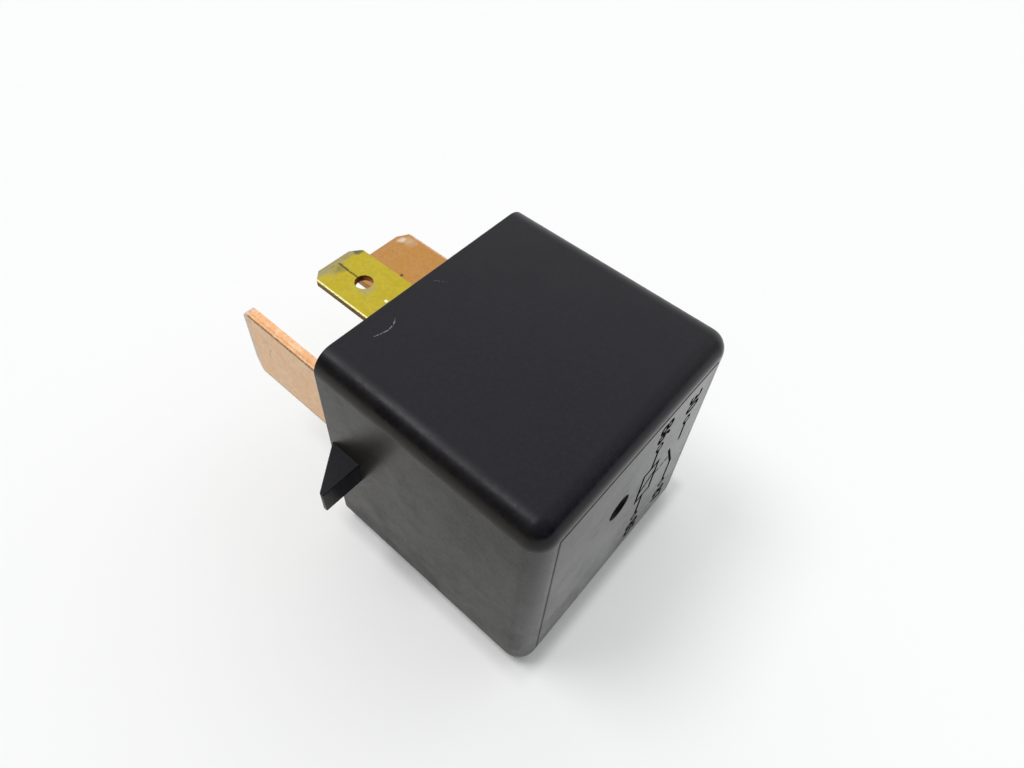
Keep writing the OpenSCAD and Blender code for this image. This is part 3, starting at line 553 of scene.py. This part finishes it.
def cup(bm, low, high, long_r, end_r, steps):
    """A box without its +Y side: long edges rounded by long_r, its closed end by end_r."""
    verts = block(bm, low, high)
    faces = {face for v in verts for face in v.link_faces}
    bmesh.ops.delete(bm, geom=[f for f in faces if lies_at(f, 1, high[1])], context="FACES_ONLY")
    edges = {e for v in verts for e in v.link_edges}
    ends = (low[1], high[1])
    bevel(bm, [e for e in edges if not any(lies_at(e, 1, y) for y in ends)], long_r, steps)
    end = [f for f in bm.faces if lies_at(f, 1, low[1])][-1]
    bevel(bm, list(end.edges), end_r, steps)


# %% The skin, then its wall
STEPS = 12
shell = bmesh.new()
shelf_y = closed_y + PANEL_STEP
cup(shell, (-side, shelf_y, 0), (side, rim_y, height), EDGE_R, END_R, STEPS)
bmesh.ops.recalc_face_normals(shell, faces=shell.faces)
bmesh.ops.solidify(shell, geom=shell.faces[:], thickness=WALL)
outer_end = max((f for f in shell.faces if lies_at(f, 1, shelf_y)), key=lambda f: f.calc_area())
outer_loop = list(outer_end.edges)
print("cup has", len(shell.faces), "faces, open edges:", sum(e.is_boundary for e in shell.edges))
print("cup spans", [round(max(v.co[i] for v in shell.verts) / MM, 2) for i in range(3)])

# %% [markdown]
# The closed end carries a flat panel that stands a hair's breadth proud, with a round dimple
# where the plastic entered the mould. The end face is opened, a square and a ring are laid in
# its plane, and the flat rests between them are filled. The ring is then pushed down in small
# steps, so the dimple gets a round lip.

# %% The raised panel and its dimple
UPRIGHT = Matrix.Rotation(math.radians(90), 3, "X")


def flat_square(bm, x0, x1, z0, z1, y):
    """A square in a plane across Y."""
    verts = bmesh.ops.create_grid(bm, x_segments=1, y_segments=1, size=0.5)["verts"]
    bmesh.ops.rotate(bm, cent=(0, 0, 0), matrix=UPRIGHT, verts=verts)
    bmesh.ops.scale(bm, vec=(x1 - x0, 1, z1 - z0), verts=verts)
    bmesh.ops.translate(bm, vec=((x0 + x1) / 2, y, (z0 + z1) / 2), verts=verts)
    return verts


def edges_between(verts):
    """The edges whose two ends are both in a set of vertices."""
    inside = set(verts)
    return list({e for v in verts for e in v.link_edges if e.other_vert(v) in inside})


def vertices_of(geometry):
    """Only the vertices out of what an extrusion gives back."""
    return [g for g in geometry if isinstance(g, bmesh.types.BMVert)]


def fill_flat(bm, edges):
    """Fills the rest between outlines on the closed end, with faces that look out of it."""
    bmesh.ops.triangle_fill(bm, use_beauty=True, use_dissolve=False, edges=edges,
                            normal=(0, -1, 0))


shell.faces.remove(outer_end)
panel = (-side + PANEL_MARGIN, side - PANEL_MARGIN, PANEL_MARGIN, height - PANEL_MARGIN)
foot = flat_square(shell, *panel, shelf_y)
foot_face = foot[0].link_faces[0]
raised = bmesh.ops.extrude_face_region(shell, geom=[foot_face])["geom"]
raised_verts = vertices_of(raised)
bmesh.ops.translate(shell, vec=(0, closed_y - shelf_y, 0), verts=raised_verts)
for face in {f for v in foot for f in v.link_faces if lies_at(f, 1, shelf_y)}:
    shell.faces.remove(face)
for face in [f for f in shell.faces if lies_at(f, 1, closed_y)]:
    shell.faces.remove(face)
fill_flat(shell, outer_loop + edges_between(foot))

# %% The dimple
LIP = 0.1 * MM
LIP_TURNS = [math.radians(15 * n) for n in range(1, 7)]
FLOOR_TURNS = [math.radians(18 * n) for n in range(1, 6)]
ring = bmesh.ops.create_circle(shell, cap_ends=False, segments=64, radius=GATE_R + LIP)["verts"]
bmesh.ops.rotate(shell, cent=(0, 0, 0), matrix=UPRIGHT, verts=ring)
bmesh.ops.translate(shell, vec=(GATE.x, closed_y, GATE.y), verts=ring)
fill_flat(shell, edges_between(raised_verts) + edges_between(ring))

way_down = [(GATE_R + LIP * (1 - math.sin(a)), LIP * (1 - math.cos(a))) for a in LIP_TURNS]
way_down += [(GATE_R, GATE_DEPTH - LIP)]
way_down += [(GATE_R - LIP * (1 - math.cos(a)), GATE_DEPTH - LIP * (1 - math.sin(a)))
             for a in FLOOR_TURNS]
about = Matrix.Translation((-GATE.x, 0, -GATE.y))
radius, depth = GATE_R + LIP, 0.0
for next_radius, next_depth in way_down:
    ring = vertices_of(bmesh.ops.extrude_edge_only(shell, edges=edges_between(ring))["geom"])
    ratio = next_radius / radius
    bmesh.ops.scale(shell, vec=(ratio, 1, ratio), space=about, verts=ring)
    bmesh.ops.translate(shell, vec=(0, next_depth - depth, 0), verts=ring)
    radius, depth = next_radius, next_depth
bmesh.ops.contextual_create(shell, geom=edges_between(ring))
print("open edges after the dimple:", sum(e.is_boundary for e in shell.edges))

# %% Soften the panel's step and the rim
PANEL_SOFT = 0.04 * MM
RIM_SOFT = 0.12 * MM
CORNER = math.radians(60)
for place_y, soft in ((closed_y, PANEL_SOFT), (rim_y, RIM_SOFT)):
    corners = [e for e in shell.edges if lies_at(e, 1, place_y) and e.calc_face_angle(0) > CORNER]
    bevel(shell, corners, soft, 3)
    print(len(corners), "edges softened by", round(soft / MM, 2), "mm")

# %% [markdown]
# Every new piece ends in the same way. Points that fall together are merged, the faces are
# turned outwards, flat faces are shaded flat and round ones smooth, and the piece is put on the
# body that carries it. So one function does it.

# %% Turn a bmesh into a finished piece
SHARP = math.radians(32)
WELD = 0.0005 * MM


def piece(bm, name, material, body="housing", replaces=(), weld=WELD):
    """Makes the object, points its faces outwards, evens its shading and puts it on a body."""
    bmesh.ops.remove_doubles(bm, verts=bm.verts, dist=weld)
    bmesh.ops.recalc_face_normals(bm, faces=bm.faces)
    mesh = bpy.data.meshes.new(name)
    bm.to_mesh(mesh)
    bm.free()
    mesh.polygons.foreach_set("use_smooth", [True] * len(mesh.polygons))
    mesh.set_sharp_from_angle(angle=SHARP)
    made = bpy.data.objects.new(name, mesh)
    scene.collection.objects.link(made)
    mesh.materials.append(material)
    even = made.modifiers.new("even shading", "WEIGHTED_NORMAL")
    even.keep_sharp = True
    even.weight = 100
    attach(made, body)
    if replaces:
        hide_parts(*replaces)
    print(name, len(mesh.polygons), "faces")


piece(shell, "cover_shell", cover_plastic, replaces=["cover"])

# %% [markdown]
# ## The snap wedge
# A wedge on one wall snaps into a bracket. From the rim it ramps outwards to a narrow nose, and
# a square face behind the nose locks it. Five points make its outline, which is then
# pulled up to its thickness, and its foot is sunk a little into the wall.

# %% Snap wedge
SUNK = 0.3 * MM
NOSE = 0.5 * MM
SOFT = 0.1 * MM
WEDGE_Y = (8.45 * MM, 12.3 * MM)
WEDGE_Z = (12.55 * MM, 15.45 * MM)
wedge_tip = cover_low.x
wedge_foot = -side + SUNK
outline = [(wedge_foot, WEDGE_Y[1]), (-side, WEDGE_Y[1]), (wedge_tip, WEDGE_Y[0] + NOSE),
           (wedge_tip, WEDGE_Y[0]), (wedge_foot, WEDGE_Y[0])]
bm = bmesh.new()
flank = bm.faces.new([bm.verts.new((x, y, WEDGE_Z[0])) for x, y in outline])
pulled = bmesh.ops.extrude_face_region(bm, geom=[flank])["geom"]
bmesh.ops.translate(bm, vec=(0, 0, WEDGE_Z[1] - WEDGE_Z[0]), verts=vertices_of(pulled))
bmesh.ops.recalc_face_normals(bm, faces=bm.faces)
bevel(bm, [e for e in bm.edges if not lies_at(e, 0, wedge_foot)], SOFT, 3)
piece(bm, "snap_wedge", cover_plastic)

# %% [markdown]
# ## The armature's stop
# Inside the closed end stands a short rib. When the coil lets go, the armature swings back
# until it meets this rib. It is a plain block with soft edges, its foot sunk into the wall.

# %% Rib that stops the armature
RIB_X = (-4.6 * MM, -3.4 * MM)
RIB_Z = (9 * MM, 19 * MM)
RIB_END = -10.07 * MM
rib_foot = closed_y + WALL - SUNK
bm = bmesh.new()
block(bm, (RIB_X[0], rib_foot, RIB_Z[0]), (RIB_X[1], RIB_END, RIB_Z[1]))
bevel(bm, [e for e in bm.edges if not lies_at(e, 1, rib_foot)], SOFT, 2)
piece(bm, "stop_rib", cover_plastic)

# %% [markdown]
# ## The print on the panel
# Such relays carry a small diagram of their own circuit, with the number of each blade. It is
# laser-marked, so it is flat, dark and quite dull. Strokes are thin plates a hundredth of a
# millimetre thick, and the numbers are set as type and turned into meshes.

# %% Print finish
ink, tree, shader = new_finish("panel_print", in_parts_list=False, Specular_IOR_Level=0.0)
worn = use(tree, blotches, Scale=2600.0, From=0.35, To=0.75)["Mask"]
tree.links.new(tint(tree, worn, colour(0.006, 0.006, 0.007), colour(0.016, 0.016, 0.017)),
               shader.inputs["Base Color"])
tree.links.new(fade(tree, worn, 0.0, 1.0, 0.85, 0.98), shader.inputs["Roughness"])

# %% Strokes and numbers
STROKE = 0.36 * MM
THIN_STROKE = 0.22 * MM
BOLDER = 0.06 * MM
PRINT_WELD = 0.00001 * MM


def stroke(bm, start, end, width=STROKE):
    """A flat printed line on the panel. Points are (x, z) in mm."""
    start, end = Vector(start) * MM, Vector(end) * MM
    run = end - start
    verts = block(bm, (-width / 2, 0, -width / 2), (run.length + width / 2, PRINT, width / 2))
    turn = Matrix.Rotation(-math.atan2(run.y, run.x), 3, "Y")
    bmesh.ops.rotate(bm, cent=(0, 0, 0), matrix=turn, verts=verts)
    bmesh.ops.translate(bm, vec=(start.x, closed_y - PRINT, start.y), verts=verts)


def path(bm, *points, width=STROKE):
    """Printed lines from point to point."""
    for start, end in zip(points, points[1:]):
        stroke(bm, start, end, width)


def number(bm, digits, x, z, tall):
    """Sets a number with its foot towards +X and its reading direction along -Z."""
    text = bpy.data.curves.new("number", "FONT")
    text.body = digits
    text.size = tall * MM
    text.align_x = "CENTER"
    text.align_y = "CENTER"
    text.offset = BOLDER
    holder = bpy.data.objects.new("number", text)
    scene.collection.objects.link(holder)
    bpy.context.view_layer.update()
    flat = bpy.data.meshes.new_from_object(holder)
    bpy.data.objects.remove(holder)
    bpy.data.curves.remove(text)
    before = set(bm.verts)
    bm.from_mesh(flat)
    bpy.data.meshes.remove(flat)
    verts = [v for v in bm.verts if v not in before]
    faces = list({f for v in verts for f in v.link_faces})
    grown = bmesh.ops.extrude_face_region(bm, geom=faces)["geom"]
    bmesh.ops.translate(bm, vec=(0, 0, PRINT), verts=vertices_of(grown))
    verts = [v for v in bm.verts if v not in before]
    stand = Matrix.Rotation(math.radians(90), 3, "Y") @ UPRIGHT
    bmesh.ops.rotate(bm, cent=(0, 0, 0), matrix=stand, verts=verts)
    bmesh.ops.translate(bm, vec=(x * MM, closed_y, z * MM), verts=verts)


def terminal_dot(bm, x, z, radius=0.5):
    """A small printed ring where a lead ends."""
    turns = [math.radians(30 * n) for n in range(13)]
    round_path = [(x + radius * math.cos(a), z + radius * math.sin(a)) for a in turns]
    path(bm, *round_path, width=THIN_STROKE)


# %% The circuit, drawn in mm
COIL_X = 3.6
CONTACT_X = 8.6
TALL = 2.9
bm = bmesh.new()
# The coil: a box with a slash, between blades 86 and 85
left, right, top, bottom = COIL_X - 1.2, COIL_X + 1.2, 17.0, 12.0
path(bm, (left, top), (left, bottom), (right, bottom), (right, top), (left, top))
stroke(bm, (left, 13.6), (right, 15.4))
stroke(bm, (COIL_X, top), (COIL_X, 20.3))
stroke(bm, (COIL_X, bottom), (COIL_X, 8.0))
# The contact: two leads and an open arm, between blades 30 and 87
stroke(bm, (CONTACT_X, 19.4), (CONTACT_X, 16.6))
stroke(bm, (CONTACT_X, 8.4), (CONTACT_X, 12.4))
stroke(bm, (CONTACT_X, 12.4), (6.9, 16.4))
for x, z in ((COIL_X, 20.8), (COIL_X, 7.5), (CONTACT_X, 19.9), (CONTACT_X, 7.9)):
    terminal_dot(bm, x, z)
# The dashed line that ties the arm to the coil
for dash in range(3):
    stroke(bm, (5.2 + 0.85 * dash, 14.5), (5.6 + 0.85 * dash, 14.5), THIN_STROKE)
for digits, x, z in (("86", COIL_X, 23.3), ("85", COIL_X, 4.9),
                     ("30", CONTACT_X, 22.6), ("87", CONTACT_X, 5.2)):
    number(bm, digits, x, z, TALL)
piece(bm, "panel_print", ink, weld=PRINT_WELD)

# %% [markdown]
# ## Copies of drawn parts with real edges
# A stamped blade or a moulded base has no knife edges. For parts whose form is already right,
# a copy of the drawn mesh is enough: its loose triangles are merged, flat ones are joined into
# whole faces, and the sharp edges are rounded.

# %% Finished copy
SAME_POINT = 0.002 * MM
SAME_PLANE = math.radians(0.6)
ROUNDED_FROM = math.radians(26)


def finished_copy(node, name, material, width):
    """A copy of a drawn part with its sharp edges rounded, standing for that part."""
    bm = bmesh.new()
    bm.from_mesh(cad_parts[node].data)
    bmesh.ops.remove_doubles(bm, verts=bm.verts, dist=SAME_POINT)
    bmesh.ops.dissolve_limit(bm, angle_limit=SAME_PLANE, verts=bm.verts, edges=bm.edges,
                             use_dissolve_boundaries=False)
    bevel(bm, [e for e in bm.edges if e.calc_face_angle(0) > ROUNDED_FROM], width, 3)
    piece(bm, name, material, replaces=[node])


# %% [markdown]
# ## Copper and brass
# The load blades are bare copper strip, dulled by air. The coil blades are brass with a yellow
# passivated skin. Freshly cut metal shows along the sheared edges, the tips are worn grey where
# they were pushed into a socket, and rolling has left faint streaks along each blade.
# On the brass blades a bright line along one edge is a painted highlight, and their cut sides are
# painted dark as shade.

# %% Strip metal
def strip_metal(slot, body_colour, pale, dark, metallic):
    """Starts a blade's finish. Returns it, its tree and shader, then the skin's three outputs."""
    material, tree, shader = new_finish(slot, Metallic=metallic)
    strip = use(tree, rolled_strip, Body=body_colour, Pale=pale, Dark=dark)
    return material, tree, shader, strip["Rolled"], strip["Aged"], strip["Colour"]


def finish_strip(tree, shader, base, rolled, aged, smooth, rough_most):
    """Links a strip's colour, roughness and bump."""
    tree.links.new(base, shader.inputs["Base Color"])
    lined = fade(tree, rolled, 0.3, 0.7, smooth, rough_most)
    worn_rough = calc(tree, "MULTIPLY_ADD", aged, 0.08, lined)
    tree.links.new(worn_rough, shader.inputs["Roughness"])
    roughen(tree, shader, rolled, 0.006 * MM, 0.5)


def stain(tree, base, over, strength, centre, radius, softness, ragged):
    """Lays a ragged round stain over a colour. Centre and sizes are in mm."""
    mask = use(tree, mark, Centre=Vector(centre) * MM, Radius=radius * MM,
               Softness=softness * MM, Ragged=ragged * MM)["Mask"]
    return tint(tree, calc(tree, "MULTIPLY", mask, strength), base, over)


def line_mark(tree, base, over, strength, start, end, width, bend, broken):
    """Lays a thin line over a colour. Points and sizes are in mm."""
    mask = use(tree, hairline, Start=Vector(start) * MM, End=Vector(end) * MM,
               Width=width * MM, Bend=bend * MM, Broken=broken)["Mask"]
    return tint(tree, calc(tree, "MULTIPLY", mask, strength), base, over)


# %% Load blade 30: brown copper with a pale worn spot
FACE_30 = 14.6
load_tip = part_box("terminal_30")[1].y
copper_30, tree, shader, rolled, aged, base = strip_metal(
    "load_blade_copper", colour(0.47, 0.232, 0.058), colour(0.52, 0.29, 0.10),
    colour(0.25, 0.13, 0.06), 0.8)
fresh_edge = use(tree, rubbed, From=0.05, To=0.25, Scale=2500.0, Broken=0.5)["Mask"]
base = tint(tree, calc(tree, "MULTIPLY", fresh_edge, 0.6), base, colour(0.80, 0.56, 0.44))
tip = use(tree, blade_tip, From=load_tip - 1.0 * MM)["Mask"]
base = tint(tree, calc(tree, "MULTIPLY", tip, 0.08), base, colour(0.66, 0.45, 0.36))
pale = colour(0.74, 0.68, 0.62)
base = stain(tree, base, pale, 0.65, (11.1, 29.0, FACE_30), 0.75, 0.6, 0.9)
base = stain(tree, base, pale, 0.25, (11.6, 28.0, FACE_30), 1.2, 1.0, 1.6)
base = stain(tree, base, colour(0.07, 0.04, 0.03), 0.9, (6.8, 24.5, FACE_30), 0.28, 0.12, 0.2)
base = line_mark(tree, base, colour(0.78, 0.55, 0.46), 0.6, (12.5, 14.0, FACE_30),
                 (12.5, 29.0, FACE_30), 0.2, 0.05, 0.6)
finish_strip(tree, shader, base, rolled, aged, 0.50, 0.62)

# %% Load blade 87: pale copper with a curved score
FACE_87 = -11
copper_87, tree, shader, rolled, aged, base = strip_metal(
    "switch_blade_copper", colour(0.83, 0.56, 0.34), colour(0.90, 0.70, 0.50),
    colour(0.50, 0.31, 0.19), 0.75)
score = ((FACE_87, 26.4, 16.4), (FACE_87, 25.6, 15.5), (FACE_87, 26.3, 14.0))
for start, end in zip(score, score[1:]):
    base = line_mark(tree, base, colour(0.48, 0.30, 0.20), 0.4, start, end, 0.22, 0.5, 0.7)

# %% Load blade 87: its sheared edges, bright and blotchy, with a fracture line on each
EDGES_87 = (18.72, 9.28)
EDGE_FROM, EDGE_TO = 10, 28.8
blotchy = use(tree, blotches, Scale=1900.0, From=0.46, To=0.62, Detail=4.0)["Mask"]
sheared = tint(tree, calc(tree, "MULTIPLY", blotchy, 0.45), colour(0.80, 0.44, 0.215),
               colour(0.88, 0.66, 0.47))
grit = use(tree, blotches, Scale=3200.0, From=0.58, To=0.66, Detail=2.0)["Mask"]
sheared = tint(tree, calc(tree, "MULTIPLY", grit, 0.5), sheared, colour(0.48, 0.24, 0.12))
cut_edge = use(tree, faces_along, Axis=(0, 0, 1))["Mask"]
base = tint(tree, calc(tree, "MULTIPLY", cut_edge, 0.9), base, sheared)
for edge_z in EDGES_87:
    base = line_mark(tree, base, colour(0.12, 0.06, 0.03), 0.8, (FACE_87, EDGE_FROM, edge_z),
                     (FACE_87, EDGE_TO, edge_z), 0.20, 0.06, 0.40)
    base = line_mark(tree, base, colour(0.50, 0.25, 0.12), 0.55, (-10.65, EDGE_FROM, edge_z),
                     (-10.55, EDGE_TO, edge_z), 0.16, 0.25, 0.75)

# %% Load blade 87: its tip, worn grey by the socket
worn_tip = tint(tree, calc(tree, "MULTIPLY", grit, 0.7), colour(0.60, 0.55, 0.50),
                colour(0.34, 0.24, 0.20))
tip = use(tree, blade_tip, From=load_tip - 1.4 * MM)["Mask"]
base = tint(tree, calc(tree, "MULTIPLY", tip, 0.7), base, worn_tip)
finish_strip(tree, shader, base, rolled, aged, 0.48, 0.62)

# %% Coil blades: yellow brass, stained round the tip and the hole
FACE_86 = 22.8
coil_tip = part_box("terminal_86")[1].y
brass, tree, shader, rolled, aged, base = strip_metal(
    "coil_blade_brass", colour(0.46, 0.36, 0.021), colour(0.49, 0.41, 0.05),
    colour(0.24, 0.19, 0.04), 0.85)
grey_skin = tint(tree, aged, colour(0.30, 0.255, 0.12), colour(0.36, 0.31, 0.17))
tip = use(tree, blade_tip, From=coil_tip - 0.95 * MM)["Mask"]
base = tint(tree, calc(tree, "MULTIPLY", tip, 0.8), base, grey_skin)
for over, strength, centre, radius, softness, ragged in (
        (colour(0.30, 0.27, 0.15), 0.55, (-3.2, 24.0), 1.1, 0.9, 1.4),
        (colour(0.17, 0.14, 0.075), 0.7, (-2.2, 23.7), 1.0, 0.9, 1.3),
        (colour(0.34, 0.29, 0.20), 0.6, (-2.2, 19.5), 1.25, 0.9, 0.9),
        (colour(0.09, 0.085, 0.07), 0.9, (0.95, 24.35), 0.85, 0.5, 0.8)):
    base = stain(tree, base, over, strength, (*centre, FACE_86), radius, softness, ragged)
base = line_mark(tree, base, colour(0.05, 0.042, 0.02), 0.9, (-1.75, 24.2, FACE_86),
                 (-1.85, 21.2, FACE_86), 0.16, 0.3, 0.35)
# A small nick, painted near-white as a glint: a painted highlight
base = stain(tree, base, colour(0.92, 0.90, 0.78), 0.95, (-2.1, 16.7, FACE_86), 0.2, 0.08, 0.5)

# %% Coil blades: crumbs, cut sides painted dark as shade, a painted highlight and a brown hole
HOLE = (-1.8, 20.35, 22.4)
HOLE_MARK_R = 1.3 * MM
EDGE_GLINT_X = -4.92
crumbs = use(tree, specks, Scale=1600.0, Radius=0.16, Share=0.05)["Mask"]
base = tint(tree, calc(tree, "MULTIPLY", crumbs, 0.7), base, colour(0.10, 0.08, 0.02))
# Painted shade: the cut sides of the brass blades, facing along X, are darkened
cut_edge = use(tree, faces_along, Axis=(1, 0, 0))["Mask"]
base = tint(tree, calc(tree, "MULTIPLY", cut_edge, 0.8), base, colour(0.085, 0.062, 0.014))
# Painted highlight: a bright pale line along the near cut edge of the brass blade
base = line_mark(tree, base, colour(0.98, 0.93, 0.50), 0.95, (EDGE_GLINT_X, 10, FACE_86),
                 (EDGE_GLINT_X, 24.1, FACE_86), 0.17, 0.02, 0.3)
in_hole = use(tree, mark, Centre=Vector(HOLE) * MM, Radius=HOLE_MARK_R,
              Softness=0.1 * MM, Ragged=0.0)["Mask"]
upright = calc(tree, "SUBTRACT", 1.0, use(tree, faces_along, Axis=(0, 0, 1))["Mask"])
base = tint(tree, calc(tree, "MULTIPLY", in_hole, upright), base, colour(0.30, 0.12, 0.03))
finish_strip(tree, shader, base, rolled, aged, 0.40, 0.55)

# %% Dress the blades
LOAD_EDGE, COIL_EDGE = 0.09 * MM, 0.06 * MM
for pin, finish, edge in (("30", copper_30, LOAD_EDGE), ("87", copper_87, LOAD_EDGE),
                          ("86", brass, COIL_EDGE), ("85", brass, COIL_EDGE)):
    finished_copy("terminal_" + pin, "blade_" + pin, finish, edge)

# %% [markdown]
# ## Base, resin and the works inside
# The base is the same plastic as the cover but fresh from a smoother tool. The resin round it
# has set glossy. Inside sit zinc-plated steel, lacquered copper wire, amber film, a
# nylon bobbin, strip springs and silver contacts. They are hidden, yet each gets its own
# finish, so that an opened relay looks right too.

# %% Plastics
base_plastic, tree, shader = new_finish("base_plastic", IOR=1.46)
spark = use(tree, grain, Scale=6500.0)["Height"]
dull = use(tree, blotches, Scale=260.0, From=0.38, To=0.68)["Mask"]
tree.links.new(tint(tree, dull, colour(0.011, 0.011, 0.012), colour(0.018, 0.017, 0.017)),
               shader.inputs["Base Color"])
tree.links.new(fade(tree, spark, 0.3, 1.0, 0.46, 0.62), shader.inputs["Roughness"])
roughen(tree, shader, spark, 0.010 * MM, 0.5)

nylon, tree, shader = new_finish("bobbin_plastic", IOR=1.53)
fibre = use(tree, streaks, Stretch=(1.0, 0.2, 1.0), Scale=3500.0)["Height"]
cream = tint(tree, fade(tree, fibre, 0.3, 0.7), colour(0.72, 0.69, 0.58), colour(0.62, 0.58, 0.45))
tree.links.new(cream, shader.inputs["Base Color"])
tree.links.new(fade(tree, fibre, 0.3, 0.7, 0.38, 0.52), shader.inputs["Roughness"])
roughen(tree, shader, fibre, 0.008 * MM, 0.4)

resin, tree, shader = new_finish("sealing_resin", IOR=1.55, Coat_Roughness=0.08)
flow = use(tree, blotches, Scale=700.0, From=0.3, To=0.7)["Mask"]
tree.links.new(tint(tree, flow, colour(0.018, 0.013, 0.010), colour(0.042, 0.028, 0.017)),
               shader.inputs["Base Color"])
tree.links.new(fade(tree, flow, 0.0, 1.0, 0.16, 0.30), shader.inputs["Roughness"])
roughen(tree, shader, flow, 0.05 * MM, 0.5)

film, tree, shader = new_finish("insulating_tape", IOR=1.6)
wrinkle = use(tree, streaks, Stretch=(1.0, 0.15, 1.0), Scale=900.0)["Height"]
tree.links.new(tint(tree, wrinkle, colour(0.52, 0.30, 0.03), colour(0.70, 0.46, 0.08)),
               shader.inputs["Base Color"])
tree.links.new(fade(tree, wrinkle, 0.3, 0.7, 0.14, 0.28), shader.inputs["Roughness"])
roughen(tree, shader, wrinkle, 0.03 * MM, 0.5)


# %% Metals inside
def inner_metal(slot, light, dark, smooth, rough_most, stretch):
    """A plated or rolled metal that shows only when the relay is opened."""
    material, tree, shader = new_finish(slot, Metallic=1.0)
    plated = use(tree, plating, Light=light, Dark=dark, Stretch=stretch, Smooth=smooth,
                 Rough=rough_most)
    tree.links.new(plated["Colour"], shader.inputs["Base Color"])
    tree.links.new(plated["Roughness"], shader.inputs["Roughness"])
    roughen(tree, shader, plated["Height"], 0.004 * MM, 0.5)
    return material


NO_GRAIN = (1.0, 1.0, 1.0)
steel = inner_metal("magnet_steel", colour(0.60, 0.61, 0.62), colour(0.52, 0.53, 0.55),
                    0.32, 0.44, (1.0, 0.1, 1.0))
wire = inner_metal("enamelled_wire", colour(0.62, 0.24, 0.08), colour(0.46, 0.16, 0.055),
                   0.20, 0.32, (0.3, 1.0, 0.3))
bronze = inner_metal("spring_bronze", colour(0.66, 0.40, 0.22), colour(0.58, 0.33, 0.17),
                     0.28, 0.42, (0.08, 1.0, 1.0))
leaf = inner_metal("spring_steel", colour(0.58, 0.56, 0.51), colour(0.50, 0.48, 0.43),
                   0.26, 0.38, (1.0, 0.08, 1.0))
rivet = inner_metal("rivet_steel", colour(0.68, 0.68, 0.66), colour(0.59, 0.59, 0.57),
                    0.28, 0.42, NO_GRAIN)
silver = inner_metal("contact_silver", colour(0.88, 0.88, 0.85), colour(0.79, 0.78, 0.75),
                     0.22, 0.36, NO_GRAIN)

# %% Dress the base and the works
BASE_EDGE = 0.09 * MM
finished_copy("base", "base_plate", base_plastic, BASE_EDGE)
drawn_finishes = {
    "seal_bead": resin, "yoke": steel, "core": steel, "armature": steel, "bobbin": nylon,
    "winding": wire, "coil_lead_86": wire, "coil_lead_85": wire, "coil_tape": film,
    "contact_spring": bronze, "hinge_spring": leaf, "yoke_rivets": rivet,
    "armature_rivets": rivet, "moving_contact": silver, "fixed_contact": silver,
    "cover": cover_plastic, "base": base_plastic, "terminal_30": copper_30,
    "terminal_87": copper_87, "terminal_86": brass, "terminal_85": brass,
}
for node, finish in drawn_finishes.items():
    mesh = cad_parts[node].data
    mesh.materials.clear()
    mesh.materials.append(finish)
print("finishes on", len(drawn_finishes), "drawn parts")
